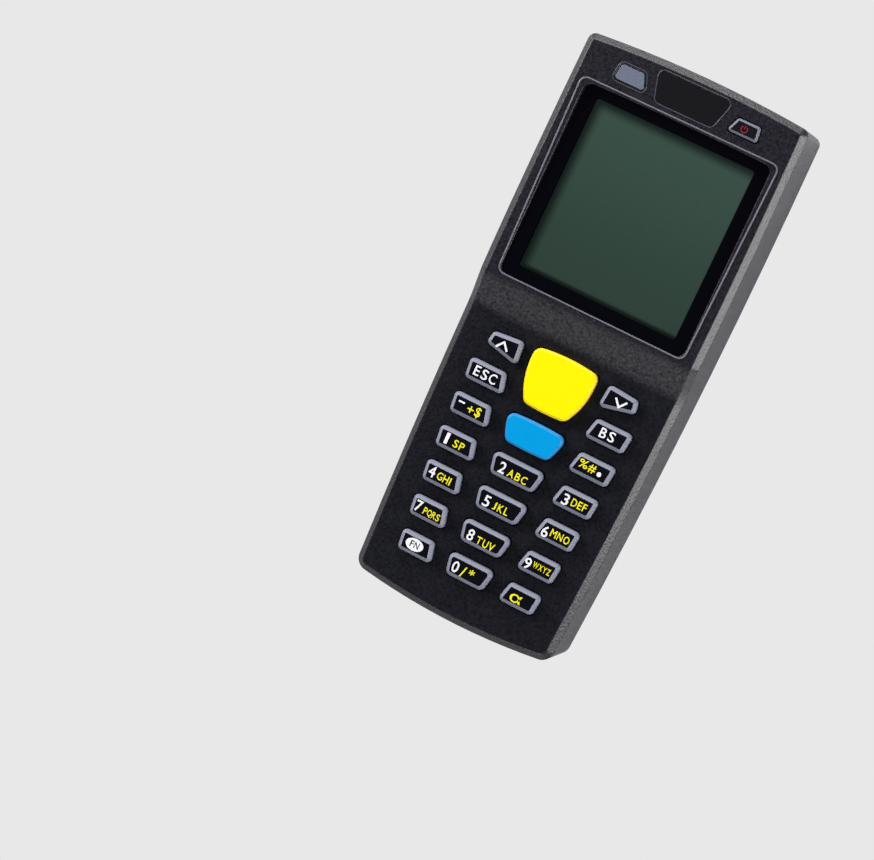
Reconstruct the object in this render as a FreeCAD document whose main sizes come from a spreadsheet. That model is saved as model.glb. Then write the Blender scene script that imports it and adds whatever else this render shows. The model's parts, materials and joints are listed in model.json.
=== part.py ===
"""Portable barcode data terminal: a keyed handset with a display, a scan engine and a battery bay.

Frame: the terminal lies on its back with the screen up. X runs across it, Y towards its head, Z up
out of the screen. The origin is at the bottom centre of the whole. Lengths are in millimetres.
"""
import FreeCAD, Part
import math
import os
import re

import Sketcher

Vector = FreeCAD.Vector
ALONG_X = FreeCAD.Rotation(Vector(0, 1, 0), 90)
ALONG_Y = FreeCAD.Rotation(Vector(1, 0, 0), -90)
SIDE_VIEW = FreeCAD.Rotation(Vector(0, 1, 0), Vector(0, 0, 1), Vector(1, 0, 0), "XYZ")

# Driving sizes: name, value, meaning
SIZES = [
    # Housing outline, seen from the front
    ("body_length", 123.2, "length over the two arched ends"),
    ("pattern_length", 123.2, "body length that the places along it are given for"),
    ("top_width", 49.4, "width at the head end"),
    ("pattern_width", 49.4, "head width that the places across it are given for"),
    ("foot_width", 45.8, "width at the foot, before its corners are rounded"),
    ("side_radius", 1650.0, "long curve of the two sides"),
    ("top_arch", 1.16, "rise of the arched head end"),
    ("foot_arch", 1.8, "rise of the arched foot end"),
    ("head_corner_radius", 1.7, "upright corners at the head"),
    ("foot_corner_radius", 2.8, "upright corners at the foot"),
    # Housing profile, seen from the side
    ("head_height", 23.0, "front face at the head end"),
    ("chin_top_height", 21.2, "front face just below the display"),
    ("keypad_height", 19.2, "front face round the keys"),
    ("chin_top_place", 7.6, "Y where the chin starts to fall"),
    ("chin_foot_place", 0.8, "Y where the chin meets the keypad"),
    ("chin_top_radius", 3.0, "rounding of the chin's crest"),
    ("chin_foot_radius", 12.0, "hollow where the chin runs out"),
    ("front_flank", 1.35, "bevel round the front face"),
    ("flank_edge_radius", 0.25, "soft edge between front face and bevel"),
    ("back_edge_radius", 1.5, "rounding of the back's edges"),
    # Shells
    ("shell_wall", 2.0, "side wall of both shells"),
    ("front_skin", 1.6, "thickness of the front face"),
    ("back_skin", 1.6, "thickness of the back"),
    ("seam_drop", 1.8, "parting line below the front face"),
    ("seam_gap", 0.2, "shadow gap at the parting line"),
    ("tongue_inset", 1.1, "outer face of the front case's tongue from the outside"),
    ("tongue_depth", 2.0, "tongue below the parting line"),
    ("tongue_clearance", 0.15, "room round the tongue"),
    # Display
    ("window_width", 42.0, "lens width"),
    ("window_top", 50.8, "Y of the lens's upper edge, at its corners"),
    ("window_bottom", 8.7, "Y of the lens's lower edge, at its corners"),
    ("window_top_radius", 750.0, "arch of the lens's upper edge"),
    ("window_bottom_radius", 320.0, "bow of the lens's lower edge"),
    ("window_corner", 1.7, "corner radius of the lens"),
    ("window_level", 21.0, "outer face of the lens"),
    ("window_thickness", 1.2, "lens thickness"),
    ("window_clearance", 0.1, "gap round the lens"),
    ("bezel_slope", 45.0, "angle of the bezel's sides"),
    ("ledge_thickness", 1.0, "ledge that carries the lens"),
    ("ledge_reach", 1.6, "reach of that ledge under the lens"),
    ("module_width", 40.0, "width of the liquid crystal panel"),
    ("module_top", 50.6, "Y of the panel's upper edge"),
    ("module_bottom", 9.6, "Y of the panel's lower edge"),
    ("panel_thickness", 1.8, "liquid crystal panel"),
    ("guide_thickness", 1.4, "light guide under the panel"),
    ("frame_wall", 1.4, "wall of the display frame"),
    ("frame_floor", 0.4, "floor of the display frame"),
    ("display_clearance", 0.1, "room between display layers"),
    # Board
    ("board_level", 13.4, "underside of the main board"),
    ("board_thickness", 1.2, "main board"),
    ("board_inset", 2.6, "board edge from the outside"),
    ("board_hole_clearance", 0.3, "room round the bosses that pass the board"),
    # Keys
    ("key_rise", 1.7, "key top above the front face"),
    ("key_bevel", 0.8, "translucent bevel round each key top"),
    ("key_depth", 4.8, "middle key size along Y"),
    ("side_key_depth", 4.5, "side key size along Y"),
    ("key_slant", 1.15, "slant of a side key's inner edge"),
    ("key_outer_slant", 0.5, "slant of a side key's outer edge"),
    ("key_corner", 1.0, "corner radius of a side key"),
    ("key_clearance", 0.25, "room round a key in the front case"),
    ("flange_margin", 0.4, "flange beyond the key's outline"),
    ("flange_thickness", 0.6, "key flange"),
    ("flange_gap", 0.1, "flange below the front skin"),
    ("mat_clearance", 0.25, "room round a flange in the mat"),
    ("stem_radius", 1.6, "key stem"),
    ("pill_thickness", 0.3, "carbon pill under the stem"),
    ("key_gap", 1.0, "pill above the board at rest"),
    ("first_row_place", -12.1, "Y of the escape row"),
    ("row_pitch", 7.62, "row to row"),
    ("escape_row_offset", 14.1, "side keys of the escape row from the middle"),
    ("escape_row_width", 9.4, "their width"),
    ("minus_row_offset", 14.0, "side keys of the minus row from the middle"),
    ("minus_row_width", 9.4, "their width"),
    ("one_row_offset", 13.75, "side keys of the 1 row from the middle"),
    ("one_row_width", 9.3, "their width"),
    ("four_row_offset", 13.3, "side keys of the 4 row from the middle"),
    ("four_row_width", 9.1, "their width"),
    ("seven_row_offset", 12.8, "side keys of the 7 row from the middle"),
    ("seven_row_width", 8.7, "their width"),
    ("last_row_offset", 12.05, "side keys of the last row from the middle"),
    ("last_row_width", 8.4, "their width"),
    ("two_key_width", 11.9, "middle key of the 1 row"),
    ("five_key_width", 11.4, "middle key of the 4 row"),
    ("eight_key_width", 11.1, "middle key of the 7 row"),
    ("zero_key_width", 10.5, "middle key of the last row"),
    ("middle_key_taper", 1.0, "how far a middle key narrows at each side"),
    ("middle_key_corner", 1.3, "corner radius of a middle key"),
    ("arrow_key_offset", 13.3, "arrow keys from the middle"),
    ("arrow_key_place", -5.1, "Y of the arrow keys"),
    ("arrow_key_width", 7.8, "arrow key width"),
    ("arrow_inner_depth", 5.2, "arrow key depth at its inner end"),
    ("arrow_outer_depth", 2.8, "arrow key depth at its outer end"),
    ("scan_key_place", -7.9, "Y of the scan key"),
    ("scan_key_width", 14.2, "scan key width at the top"),
    ("scan_key_foot", 9.3, "scan key width at the bottom"),
    ("scan_key_depth", 11.5, "scan key depth"),
    ("scan_key_side", 17.0, "curve of its sides"),
    ("scan_key_arch", 40.0, "curve of its ends"),
    ("scan_key_corner", 1.8, "corner radius"),
    ("enter_key_place", -19.45, "Y of the enter key"),
    ("enter_key_width", 13.1, "enter key width at the top"),
    ("enter_key_foot", 9.6, "enter key width at the bottom"),
    ("enter_key_depth", 5.8, "enter key depth"),
    ("enter_key_side", 14.0, "curve of its sides"),
    ("enter_key_arch", 60.0, "curve of its ends"),
    ("enter_key_corner", 1.5, "corner radius"),
    ("colour_key_bevel", 0.45, "bevel of the scan and enter keys"),
    ("mat_top_place", -0.6, "Y of the mat's head edge"),
    ("mat_foot_place", -56.4, "Y of the mat's foot edge"),
    ("mat_inset", 3.2, "mat edge from the outside"),
    # Head band
    ("band_place", 55.5, "Y of the power key and the status lens"),
    ("band_offset", 12.7, "power key and status lens from the middle"),
    ("band_width", 6.7, "their width at the bottom"),
    ("band_slant", 1.3, "slant of their inner edge"),
    ("band_outer_slant", 0.4, "slant of their outer edge"),
    ("band_depth", 3.2, "their depth"),
    ("band_corner", 0.6, "their corner radius"),
    ("lens_rise", 0.15, "status lens above the front face"),
    ("lens_clearance", 0.1, "room round the status lens"),
    ("power_rise", 0.5, "power key above the front face"),
    ("power_bevel", 0.5, "bevel of the power key"),
    ("power_flange_drop", 2.0, "power key flange below the front face"),
    ("plate_width", 16.6, "name plate width at the top"),
    ("plate_foot", 12.8, "name plate width at the bottom"),
    ("plate_top", 59.4, "Y of its upper edge"),
    ("plate_bottom", 53.0, "Y of its lower edge"),
    ("plate_thickness", 0.4, "name plate thickness"),
    ("plate_recess", 0.35, "name plate pocket below the front face"),
    ("plate_corner", 1.2, "name plate corner radius"),
    ("plate_clearance", 0.12, "groove round the name plate"),
    # Scan engine at the head end
    ("engine_width", 22.0, "scan engine width"),
    ("engine_length", 15.5, "scan engine length"),
    ("engine_height", 11.2, "scan engine height"),
    ("engine_front", 58.0, "Y of its front"),
    ("engine_seat", 0.1, "scan engine above the back's inside"),
    ("engine_lens_radius", 3.2, "lens radius"),
    ("engine_lens_reach", 1.4, "lens in front of the engine"),
    ("aperture_width", 22.0, "scan opening width"),
    ("aperture_height", 8.6, "scan opening height"),
    ("aperture_level", 7.8, "height of the scan opening's middle"),
    ("pane_margin", 1.3, "scan window beyond its opening"),
    ("pane_thickness", 0.9, "scan window thickness"),
    ("pane_inset", 1.3, "scan window's inner face from the head end"),
    ("pane_clearance", 0.1, "gap round the scan window"),
    # Battery bay and door
    ("cell_radius", 5.2, "battery cell"),
    ("cell_length", 43.5, "battery cell without its nub"),
    ("nub_radius", 1.9, "nub of a cell"),
    ("nub_length", 1.0, "length of the nub"),
    ("cell_spacing", 10.7, "cell to cell"),
    ("cell_level", 7.2, "height of the cells' axes"),
    ("bay_width", 22.0, "battery bay width"),
    ("bay_start", -45.9, "Y of the bay's foot end"),
    ("bay_length", 50.0, "battery bay length"),
    ("bay_height", 12.5, "roof of the bay"),
    ("bay_roof", 0.8, "thickness of that roof"),
    ("bay_wall", 1.2, "bay walls"),
    ("door_width", 26.0, "battery door width"),
    ("door_end", 7.6, "Y of the door's free end"),
    ("door_thickness", 1.5, "battery door thickness"),
    ("door_clearance", 0.3, "gap round the battery door"),
    ("hinge_place", -48.9, "Y of the door's hinge"),
    ("hinge_level", 1.5, "height of the door's hinge"),
    ("knuckle_radius", 1.5, "door's rolled end"),
    ("trunnion_radius", 0.8, "door's trunnions"),
    ("trunnion_length", 1.6, "length of each trunnion"),
    ("trunnion_clearance", 0.05, "radial running clearance of the trunnions"),
    ("rim_height", 3.0, "rim round the door's opening"),
    ("rim_reach", 2.4, "that rim beyond the door"),
    ("grip_depth", 0.6, "depth of the door's finger grooves"),
    ("grip_width", 1.0, "width of one finger groove"),
    ("grip_pitch", 2.2, "groove to groove"),
    ("latch_width", 6.0, "snap tongue width"),
    ("latch_leaf", 1.0, "snap tongue thickness"),
    ("latch_height", 1.4, "snap tongue above the door's inside"),
    ("latch_hook", 0.8, "how far the hook reaches past the door's end"),
    ("latch_inset", 1.4, "snap tongue from the door's end"),
    ("contact_thickness", 0.3, "battery contact strip"),
    ("contact_width", 7.0, "battery contact width"),
    ("contact_height", 8.0, "battery contact height"),
    ("contact_reach", 2.0, "how far a spring contact bends into the bay"),
    # Foot end
    ("jack_level", 10.9, "height of the data jack's axis"),
    ("jack_bore", 1.3, "radius of the data jack's bore"),
    ("jack_depth", 11.0, "depth of that bore"),
    ("jack_nose", 2.5, "radius of the jack's nose"),
    ("jack_inset", 0.3, "jack's mouth from the foot end"),
    ("jack_width", 6.0, "width of the jack's body"),
    ("jack_body_start", 2.3, "jack's body from the foot end"),
    ("jack_body_length", 10.0, "length of the jack's body"),
    ("jack_clearance", 0.2, "room round the jack's nose"),
    ("strap_offset", -8.5, "X of the strap recess"),
    ("strap_width", 7.0, "strap recess width"),
    ("strap_depth", 5.5, "strap recess depth from the foot end"),
    ("strap_height", 6.0, "strap recess height"),
    ("strap_wall", 1.2, "strap recess walls"),
    ("strap_pin_radius", 0.9, "strap pin"),
    ("strap_pin_inset", 1.7, "strap pin's axis from the foot end"),
    ("strap_pin_level", 2.4, "height of the strap pin's axis"),
    ("strap_pin_seat", 1.0, "strap pin's grip in each wall"),
    ("pin_clearance", 0.02, "room round pins and screws that are pressed in"),
    # Screws
    ("boss_radius", 2.0, "screw bosses"),
    ("boss_base_radius", 3.0, "foot of a screw boss"),
    ("boss_base_height", 3.4, "height of that foot"),
    ("boss_split", 15.0, "height where rear and front bosses meet"),
    ("boss_gap", 0.2, "gap between the two bosses"),
    ("head_boss_offset", 20.2, "head screws from the middle"),
    ("head_boss_place", 56.5, "Y of the head screws"),
    ("foot_boss_offset", 18.4, "foot screws from the middle"),
    ("foot_boss_place", -56.5, "Y of the foot screws"),
    ("screw_radius", 1.0, "case screw shank"),
    ("screw_head_radius", 1.8, "case screw head"),
    ("screw_head_height", 1.3, "case screw head height"),
    ("screw_recess", 2.0, "case screw recess depth"),
    ("screw_recess_radius", 2.05, "case screw recess radius"),
    ("screw_length", 15.0, "case screw shank length"),
    ("screw_clearance", 0.15, "room round a shank in the rear boss"),
    ("stand_offset", 18.0, "board stand-offs from the middle"),
    ("stand_place", 4.2, "Y of the board stand-offs"),
    ("stand_radius", 1.9, "board stand-off"),
    ("board_screw_radius", 0.8, "board screw shank"),
    ("board_screw_head", 1.5, "board screw head radius"),
    ("board_screw_head_height", 0.8, "board screw head height"),
    ("board_screw_length", 6.0, "board screw shank length"),
    # Pieces on the board
    ("part_seat", 0.05, "solder film under a part on the board"),
    ("switch_size", 6.0, "power switch width"),
    ("switch_height", 3.5, "power switch height"),
    ("switch_guide", 1.8, "radius of the guide that the power key's stem enters"),
    ("switch_guide_depth", 1.5, "depth of that guide"),
    ("power_stem_radius", 1.6, "power key's stem"),
    ("power_stem_entry", 0.8, "stem inside the guide at rest"),
    ("led_radius", 1.5, "status light"),
    ("led_height", 1.5, "status light height"),
    ("led_gap", 0.2, "status lens above the light"),
    ("sounder_radius", 5.0, "sounder"),
    ("sounder_height", 3.0, "sounder height"),
    ("motor_radius", 2.2, "vibration motor"),
    ("motor_length", 11.0, "vibration motor length"),
    ("coin_radius", 4.8, "memory cell"),
    ("coin_height", 2.1, "memory cell height"),
    ("small_parts_offset", 16.0, "X of the small parts beside the bay"),
    ("chip_size", 9.0, "processor package"),
    ("chip_height", 1.2, "package height"),
]

doc = FreeCAD.newDocument("data_terminal")
sheet = doc.addObject("Spreadsheet::Sheet", "sizes")
for line, (size_name, size_value, meaning) in enumerate(SIZES, 1):
    sheet.set(f"A{line}", size_name)
    sheet.set(f"B{line}", str(size_value))
    sheet.set(f"C{line}", meaning)
    sheet.setAlias(f"B{line}", size_name)
doc.recompute()

SIZE_WORD = re.compile(r"\b[a-z]+(?:_[a-z]+)+\b")

# Places and lengths along the body, which keep their share of its length
ALONG = """
    chin_top_place chin_foot_place window_top window_bottom module_top module_bottom
    key_depth side_key_depth first_row_place row_pitch arrow_key_place arrow_inner_depth
    arrow_outer_depth scan_key_place scan_key_depth enter_key_place enter_key_depth mat_top_place
    mat_foot_place band_place band_depth plate_top plate_bottom engine_length engine_front
    cell_length bay_start bay_length door_end hinge_place head_boss_place foot_boss_place
    stand_place jack_body_length strap_depth
""".split()

# Places and widths across the body, which keep their share of its width
ACROSS = """
    foot_width window_width module_width escape_row_offset escape_row_width
    minus_row_offset minus_row_width one_row_offset one_row_width four_row_offset four_row_width
    seven_row_offset seven_row_width last_row_offset last_row_width two_key_width five_key_width
    eight_key_width zero_key_width arrow_key_offset arrow_key_width scan_key_width scan_key_foot
    enter_key_width enter_key_foot band_offset band_width plate_width plate_foot engine_width
    aperture_width head_boss_offset foot_boss_offset stand_offset small_parts_offset
""".split()


def reference(word):
    """The sheet's cell for a size name, in proportion where the size follows the body."""
    name = word.group(0)
    if name in ALONG:
        return f"(sizes.{name} * sizes.body_length / sizes.pattern_length)"
    if name in ACROSS:
        return f"(sizes.{name} * sizes.top_width / sizes.pattern_width)"
    return f"sizes.{name}"


def formula(text):
    """Turn the size names of a formula into references to the sheet."""
    return SIZE_WORD.sub(reference, text)


def number(text):
    """Work out a formula with the sheet's present values."""
    return float(sheet.evalExpression(formula(text)))


def tie(item, **formulas):
    """Bind properties of an object to formulas over the sheet."""
    for name, text in formulas.items():
        item.setExpression(name.replace("__", "."), formula(text))
    return item


# Sketches


def draw_outline(sketch, corners, arcs=None):
    """Draw a closed outline, anticlockwise, with every corner tied to its two formulas.

    arcs gives the radius of each side that bulges outwards, by the side's number."""
    arcs = arcs or {}
    points = [Vector(number(x), number(y), 0) for x, y in corners]
    count = len(points)
    first = sketch.GeometryCount
    for side, start in enumerate(points):
        end = points[(side + 1) % count]
        if side in arcs:
            radius = number(arcs[side])
            chord = end - start
            inward = Vector(-chord.y, chord.x, 0).normalize()
            centre = (start + end) / 2 + inward * math.sqrt(radius ** 2 - chord.Length ** 2 / 4)
            angles = [math.atan2(p.y - centre.y, p.x - centre.x) for p in (start, end)]
            circle = Part.Circle(centre, Vector(0, 0, 1), radius)
            sketch.addGeometry(Part.ArcOfCircle(circle, angles[0], angles[1]), False)
        else:
            sketch.addGeometry(Part.LineSegment(start, end), False)
    for side, (x, y) in enumerate(corners):
        following = first + (side + 1) % count
        sketch.addConstraint(Sketcher.Constraint("Coincident", first + side, 2, following, 1))
        for kind, text in (("DistanceX", x), ("DistanceY", y)):
            index = sketch.addConstraint(Sketcher.Constraint(kind, first + side, 1, number(text)))
            sketch.setExpression(f"Constraints[{index}]", formula(text))
    for side, text in arcs.items():
        index = sketch.addConstraint(Sketcher.Constraint("Radius", first + side, number(text)))
        sketch.setExpression(f"Constraints[{index}]", formula(text))


def draw_circle(sketch, x, y, radius):
    """Draw a circle with its centre and radius tied to formulas."""
    circle = Part.Circle(Vector(number(x), number(y), 0), Vector(0, 0, 1), number(radius))
    item = sketch.addGeometry(circle, False)
    for kind, text in (("DistanceX", x), ("DistanceY", y)):
        index = sketch.addConstraint(Sketcher.Constraint(kind, item, 3, number(text)))
        sketch.setExpression(f"Constraints[{index}]", formula(text))
    index = sketch.addConstraint(Sketcher.Constraint("Radius", item, number(radius)))
    sketch.setExpression(f"Constraints[{index}]", formula(radius))


# Pieces made with sketches and features in a body of their own


def new_body(label):
    """Start a body for one piece."""
    body = doc.addObject("PartDesign::Body", label)
    body.Label = label
    return body


def body_sketch(body, name, height="0", role="XY_Plane"):
    """Open a sketch at a height over one of the body's origin planes."""
    sketch = body.newObject("Sketcher::SketchObject", name)
    plane = [item for item in body.Origin.OriginFeatures if item.Role == role][0]
    sketch.AttachmentSupport = [(plane, "")]
    sketch.MapMode = "FlatFace"
    sketch.setExpression("AttachmentOffset.Base.z", formula(height))
    return sketch


def pad(body, sketch, length):
    """Pad a sketch upwards by a formula."""
    feature = body.newObject("PartDesign::Pad", sketch.Name + "_pad")
    feature.Profile = sketch
    tie(feature, Length=length)
    return feature


def pocket(body, sketch, length):
    """Cut a sketch upwards from its own plane, and check that it removed something."""
    before = body.Shape.Volume
    feature = body.newObject("PartDesign::Pocket", sketch.Name + "_pocket")
    feature.Profile = sketch
    feature.Reversed = True
    tie(feature, Length=length)
    doc.recompute()
    assert body.Shape.Volume < before, f"{feature.Name} cut nothing"
    return feature


def upright_edges(shape, wanted=lambda point: True):
    """Number the straight upright edges whose middle is wanted."""
    found = []
    for index, edge in enumerate(shape.Edges, 1):
        if len(edge.Vertexes) != 2:
            continue
        rise = edge.Vertexes[1].Point - edge.Vertexes[0].Point
        if rise.Length > 1e-6 and abs(rise.z) > 0.999 * rise.Length and wanted(edge.CenterOfMass):
            found.append(index)
    return found


def round_uprights(body, radius, wanted=lambda point: True):
    """Fillet the body's upright edges."""
    doc.recompute()
    names = [f"Edge{index}" for index in upright_edges(body.Shape, wanted)]
    solid = body.Tip
    feature = body.newObject("PartDesign::Fillet", body.Name + "_corners")
    feature.Base = (solid, names)
    tie(feature, Radius=radius)
    return feature


def bevel_top(body, size):
    """Chamfer all edges of the body's highest flat face."""
    doc.recompute()
    faces = [(face.CenterOfMass.z, index) for index, face in enumerate(body.Shape.Faces, 1)
             if abs(face.normalAt(0, 0).z) > 0.999]
    solid = body.Tip
    feature = body.newObject("PartDesign::Chamfer", body.Name + "_bevel")
    feature.Base = (solid, [f"Face{max(faces)[1]}"])
    tie(feature, Size=size)
    return feature


# Pieces made from primitives and booleans


def block(name, x, y, z):
    """A box between pairs of formulas along each axis."""
    box = doc.addObject("Part::Box", name)
    tie(box, Length=f"({x[1]}) - ({x[0]})", Width=f"({y[1]}) - ({y[0]})", Height=f"({z[1]}) - ({z[0]})",
        Placement__Base__x=x[0], Placement__Base__y=y[0], Placement__Base__z=z[0])
    return box


def rod(name, start, radius, length, turn=None):
    """A cylinder from a start point given as three formulas, upright unless turned."""
    cylinder = doc.addObject("Part::Cylinder", name)
    if turn:
        cylinder.Placement = FreeCAD.Placement(Vector(), turn)
    tie(cylinder, Radius=radius, Height=length,
        Placement__Base__x=start[0], Placement__Base__y=start[1], Placement__Base__z=start[2])
    return cylinder


def extrusion(name, sketch, direction, forward, backward="0"):
    """A solid carried from a sketch along a direction."""
    item = doc.addObject("Part::Extrusion", name)
    item.Base = sketch
    item.DirMode = "Custom"
    item.Dir = direction
    item.Solid = True
    return tie(item, LengthFwd=forward, LengthRev=backward)


def fuse(name, *pieces):
    """Join pieces into one solid."""
    item = doc.addObject("Part::MultiFuse", name)
    item.Shapes = list(pieces)
    item.Refine = True
    return item


def cut(name, base, tool):
    """Take a tool away from a base."""
    item = doc.addObject("Part::Cut", name)
    item.Base = base
    item.Tool = tool
    item.Refine = True
    return item


def common(name, first, second):
    """Keep what two solids share."""
    item = doc.addObject("Part::Common", name)
    item.Base = first
    item.Tool = second
    return item


def group(name, *pieces):
    """Separate solids that share one node."""
    item = doc.addObject("Part::Compound", name)
    item.Links = list(pieces)
    item.Label = name
    return item


# Housing forms that both shells share


def plan_prism(name, inset, low, high):
    """The housing's outline moved inwards by an inset, between two heights."""
    half_top = f"(top_width / 2 - ({inset}))"
    half_foot = f"(foot_width / 2 - ({inset}))"
    top = f"(body_length / 2 - top_arch - ({inset}))"
    foot = f"(body_length / 2 - foot_arch - ({inset}))"
    sketch = doc.addObject("Sketcher::SketchObject", name + "_outline")
    tie(sketch, Placement__Base__z=low)
    draw_outline(sketch, [
        (half_foot, f"-{foot}"), (half_top, top), (f"-{half_top}", top), (f"-{half_foot}", f"-{foot}"),
    ], {
        0: "side_radius",
        1: f"({half_top} ^ 2 + top_arch ^ 2) / (2 * top_arch)",
        2: "side_radius",
        3: f"({half_foot} ^ 2 + foot_arch ^ 2) / (2 * foot_arch)",
    })
    prism = extrusion(name + "_prism", sketch, Vector(0, 0, 1), f"({high}) - ({low})")
    doc.recompute()
    rounding = doc.addObject("Part::Fillet", name)
    rounding.Base = prism
    least = number("flank_edge_radius")
    edges = []
    for wanted, corner in ((lambda p: p.y > 0, "head_corner_radius"),
                           (lambda p: p.y < 0, "foot_corner_radius")):
        radius = max(number(f"{corner} - ({inset})"), least)
        edges += [(index, radius, radius) for index in upright_edges(prism.Shape, wanted)]
    rounding.Edges = edges
    return rounding


def side_prism(name, low, drop, high=None):
    """The housing's side profile across its whole width, with its front face lowered by a drop.

    With a high level it is instead the space above that lowered face."""
    end = "(body_length / 2 + 1)"
    front = [(end, f"head_height - ({drop})"), ("chin_top_place", f"chin_top_height - ({drop})"),
             ("chin_foot_place", f"keypad_height - ({drop})"), (f"-{end}", f"keypad_height - ({drop})")]
    sketch = doc.addObject("Sketcher::SketchObject", name + "_profile")
    sketch.Placement = FreeCAD.Placement(Vector(), SIDE_VIEW)
    if high is None:
        draw_outline(sketch, [(f"-{end}", low), (end, low)] + front)
    else:
        draw_outline(sketch, front[::-1] + [(end, high), (f"-{end}", high)])
    prism = extrusion(name + "_prism", sketch, Vector(1, 0, 0), "top_width", "top_width")
    doc.recompute()
    edges = []
    for place, radius in (("chin_top_place", "chin_top_radius"), ("chin_foot_place", "chin_foot_radius")):
        for index, edge in enumerate(prism.Shape.Edges, 1):
            middle = edge.CenterOfMass
            if abs(middle.x) < 1e-6 and abs(middle.y - number(place)) < 1e-6:
                edges.append((index, number(radius), number(radius)))
    rounding = doc.addObject("Part::Fillet", name)
    rounding.Base = prism
    rounding.Edges = edges
    return rounding


def front_faces(shape):
    """Faces that look up out of the front."""
    found = []
    for face in shape.Faces:
        first, last, low, high = face.ParameterRange
        if face.normalAt((first + last) / 2, (low + high) / 2).z > 0.8:
            found.append(face)
    return found


def border_edges(shape, faces):
    """Number the edges that border a set of faces from outside."""
    edges = [edge for face in faces for edge in face.Edges]
    lone = [edge for edge in edges if sum(edge.isSame(other) for other in edges) == 1]
    return [index for index, edge in enumerate(shape.Edges, 1) if any(edge.isSame(other) for other in lone)]


def make_form():
    """The whole housing as one solid: bevelled front, rounded back."""
    plan = plan_prism("form_plan", "0", "0", "head_height + 2")
    side = side_prism("form_side", "0", "0")
    form = common("form_sharp", plan, side)
    doc.recompute()
    flank = doc.addObject("Part::Chamfer", "form_flank")
    flank.Base = form
    size = number("front_flank")
    flank.Edges = [(index, size, size) for index in border_edges(form.Shape, front_faces(form.Shape))]
    doc.recompute()
    soft = doc.addObject("Part::Fillet", "form_soft")
    soft.Base = flank
    size = number("flank_edge_radius")
    edges = [(index, size, size) for index in border_edges(flank.Shape, front_faces(flank.Shape))]
    lowest = [face for face in flank.Shape.Faces if face.CenterOfMass.z < 1e-6]
    size = number("back_edge_radius")
    edges += [(index, size, size) for index in border_edges(flank.Shape, lowest)]
    soft.Edges = edges
    doc.recompute()
    return soft


# Key outlines


def mirrored(corners):
    """The same outline on the other side of the middle, still anticlockwise."""
    return [(f"-({x})", y) for x, y in reversed(corners)]


def side_key(offset, place, width, margin):
    """A left side key: its inner edge slants more than its outer one."""
    half = f"({width} / 2)"
    deep = f"(side_key_depth / 2 + {margin})"
    return [(f"-{offset} - {half} + key_outer_slant - {margin}", f"{place} - {deep}"),
            (f"-{offset} + {half} + {margin}", f"{place} - {deep}"),
            (f"-{offset} + {half} - key_slant + {margin}", f"{place} + {deep}"),
            (f"-{offset} - {half} - {margin}", f"{place} + {deep}")]


def middle_key(place, width, margin):
    """A middle key: narrower at its foot."""
    half = f"({width} / 2 + {margin})"
    deep = f"(key_depth / 2 + {margin})"
    return [(f"-{half} + middle_key_taper", f"{place} - {deep}"), (f"{half} - middle_key_taper", f"{place} - {deep}"),
            (half, f"{place} + {deep}"), (f"-{half}", f"{place} + {deep}")]


def arrow_key(margin):
    """The left arrow key: low at its outer end and tall at its inner one."""
    half = f"(arrow_key_width / 2 + {margin})"
    outer = f"(arrow_outer_depth / 2 + {margin})"
    inner = f"(arrow_inner_depth / 2 + {margin})"
    shift = "(arrow_inner_depth - arrow_outer_depth) / 4"
    return [(f"-arrow_key_offset - {half}", f"arrow_key_place - {outer} + {shift}"),
            (f"-arrow_key_offset + {half}", f"arrow_key_place - {inner}"),
            (f"-arrow_key_offset + {half} - key_outer_slant", f"arrow_key_place + {inner}"),
            (f"-arrow_key_offset - {half} + key_outer_slant", f"arrow_key_place + {outer} + {shift}")]


def shield_key(kind, margin):
    """The scan or the enter key: a shield with curved sides."""
    half = f"({kind}_key_width / 2 + {margin})"
    foot = f"({kind}_key_foot / 2 + {margin})"
    deep = f"({kind}_key_depth / 2 + {margin})"
    place = f"{kind}_key_place"
    return [(f"-{foot}", f"{place} - {deep}"), (foot, f"{place} - {deep}"),
            (half, f"{place} + {deep}"), (f"-{half}", f"{place} + {deep}")]


def shield_arcs(kind, margin):
    """Curves of a shield key's four sides."""
    return {0: f"{kind}_key_arch + {margin}", 1: f"{kind}_key_side + {margin}",
            2: f"{kind}_key_arch + {margin}", 3: f"{kind}_key_side + {margin}"}


def band_shape(margin):
    """The status lens's outline; the power key's is its mirror image."""
    half = f"(band_width / 2 + {margin})"
    deep = f"(band_depth / 2 + {margin})"
    return [(f"-band_offset - {half}", f"band_place - {deep}"),
            (f"-band_offset + {half}", f"band_place - {deep}"),
            (f"-band_offset + {half} - band_slant", f"band_place + {deep}"),
            (f"-band_offset - {half} + band_outer_slant", f"band_place + {deep}")]


def row_place(row):
    """Y of a row of keys, counted from the escape row."""
    return f"(first_row_place - {row} * row_pitch)"


class Key:
    """One key of the keypad: its outline at any margin, its corner radius and its middle."""

    def __init__(self, label, corners, corner, middle, arcs=None, bevel="key_bevel"):
        self.label = label
        self.corners = corners
        self.corner = corner
        self.middle = middle
        self.arcs = arcs or (lambda margin: {})
        self.bevel = bevel


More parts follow.
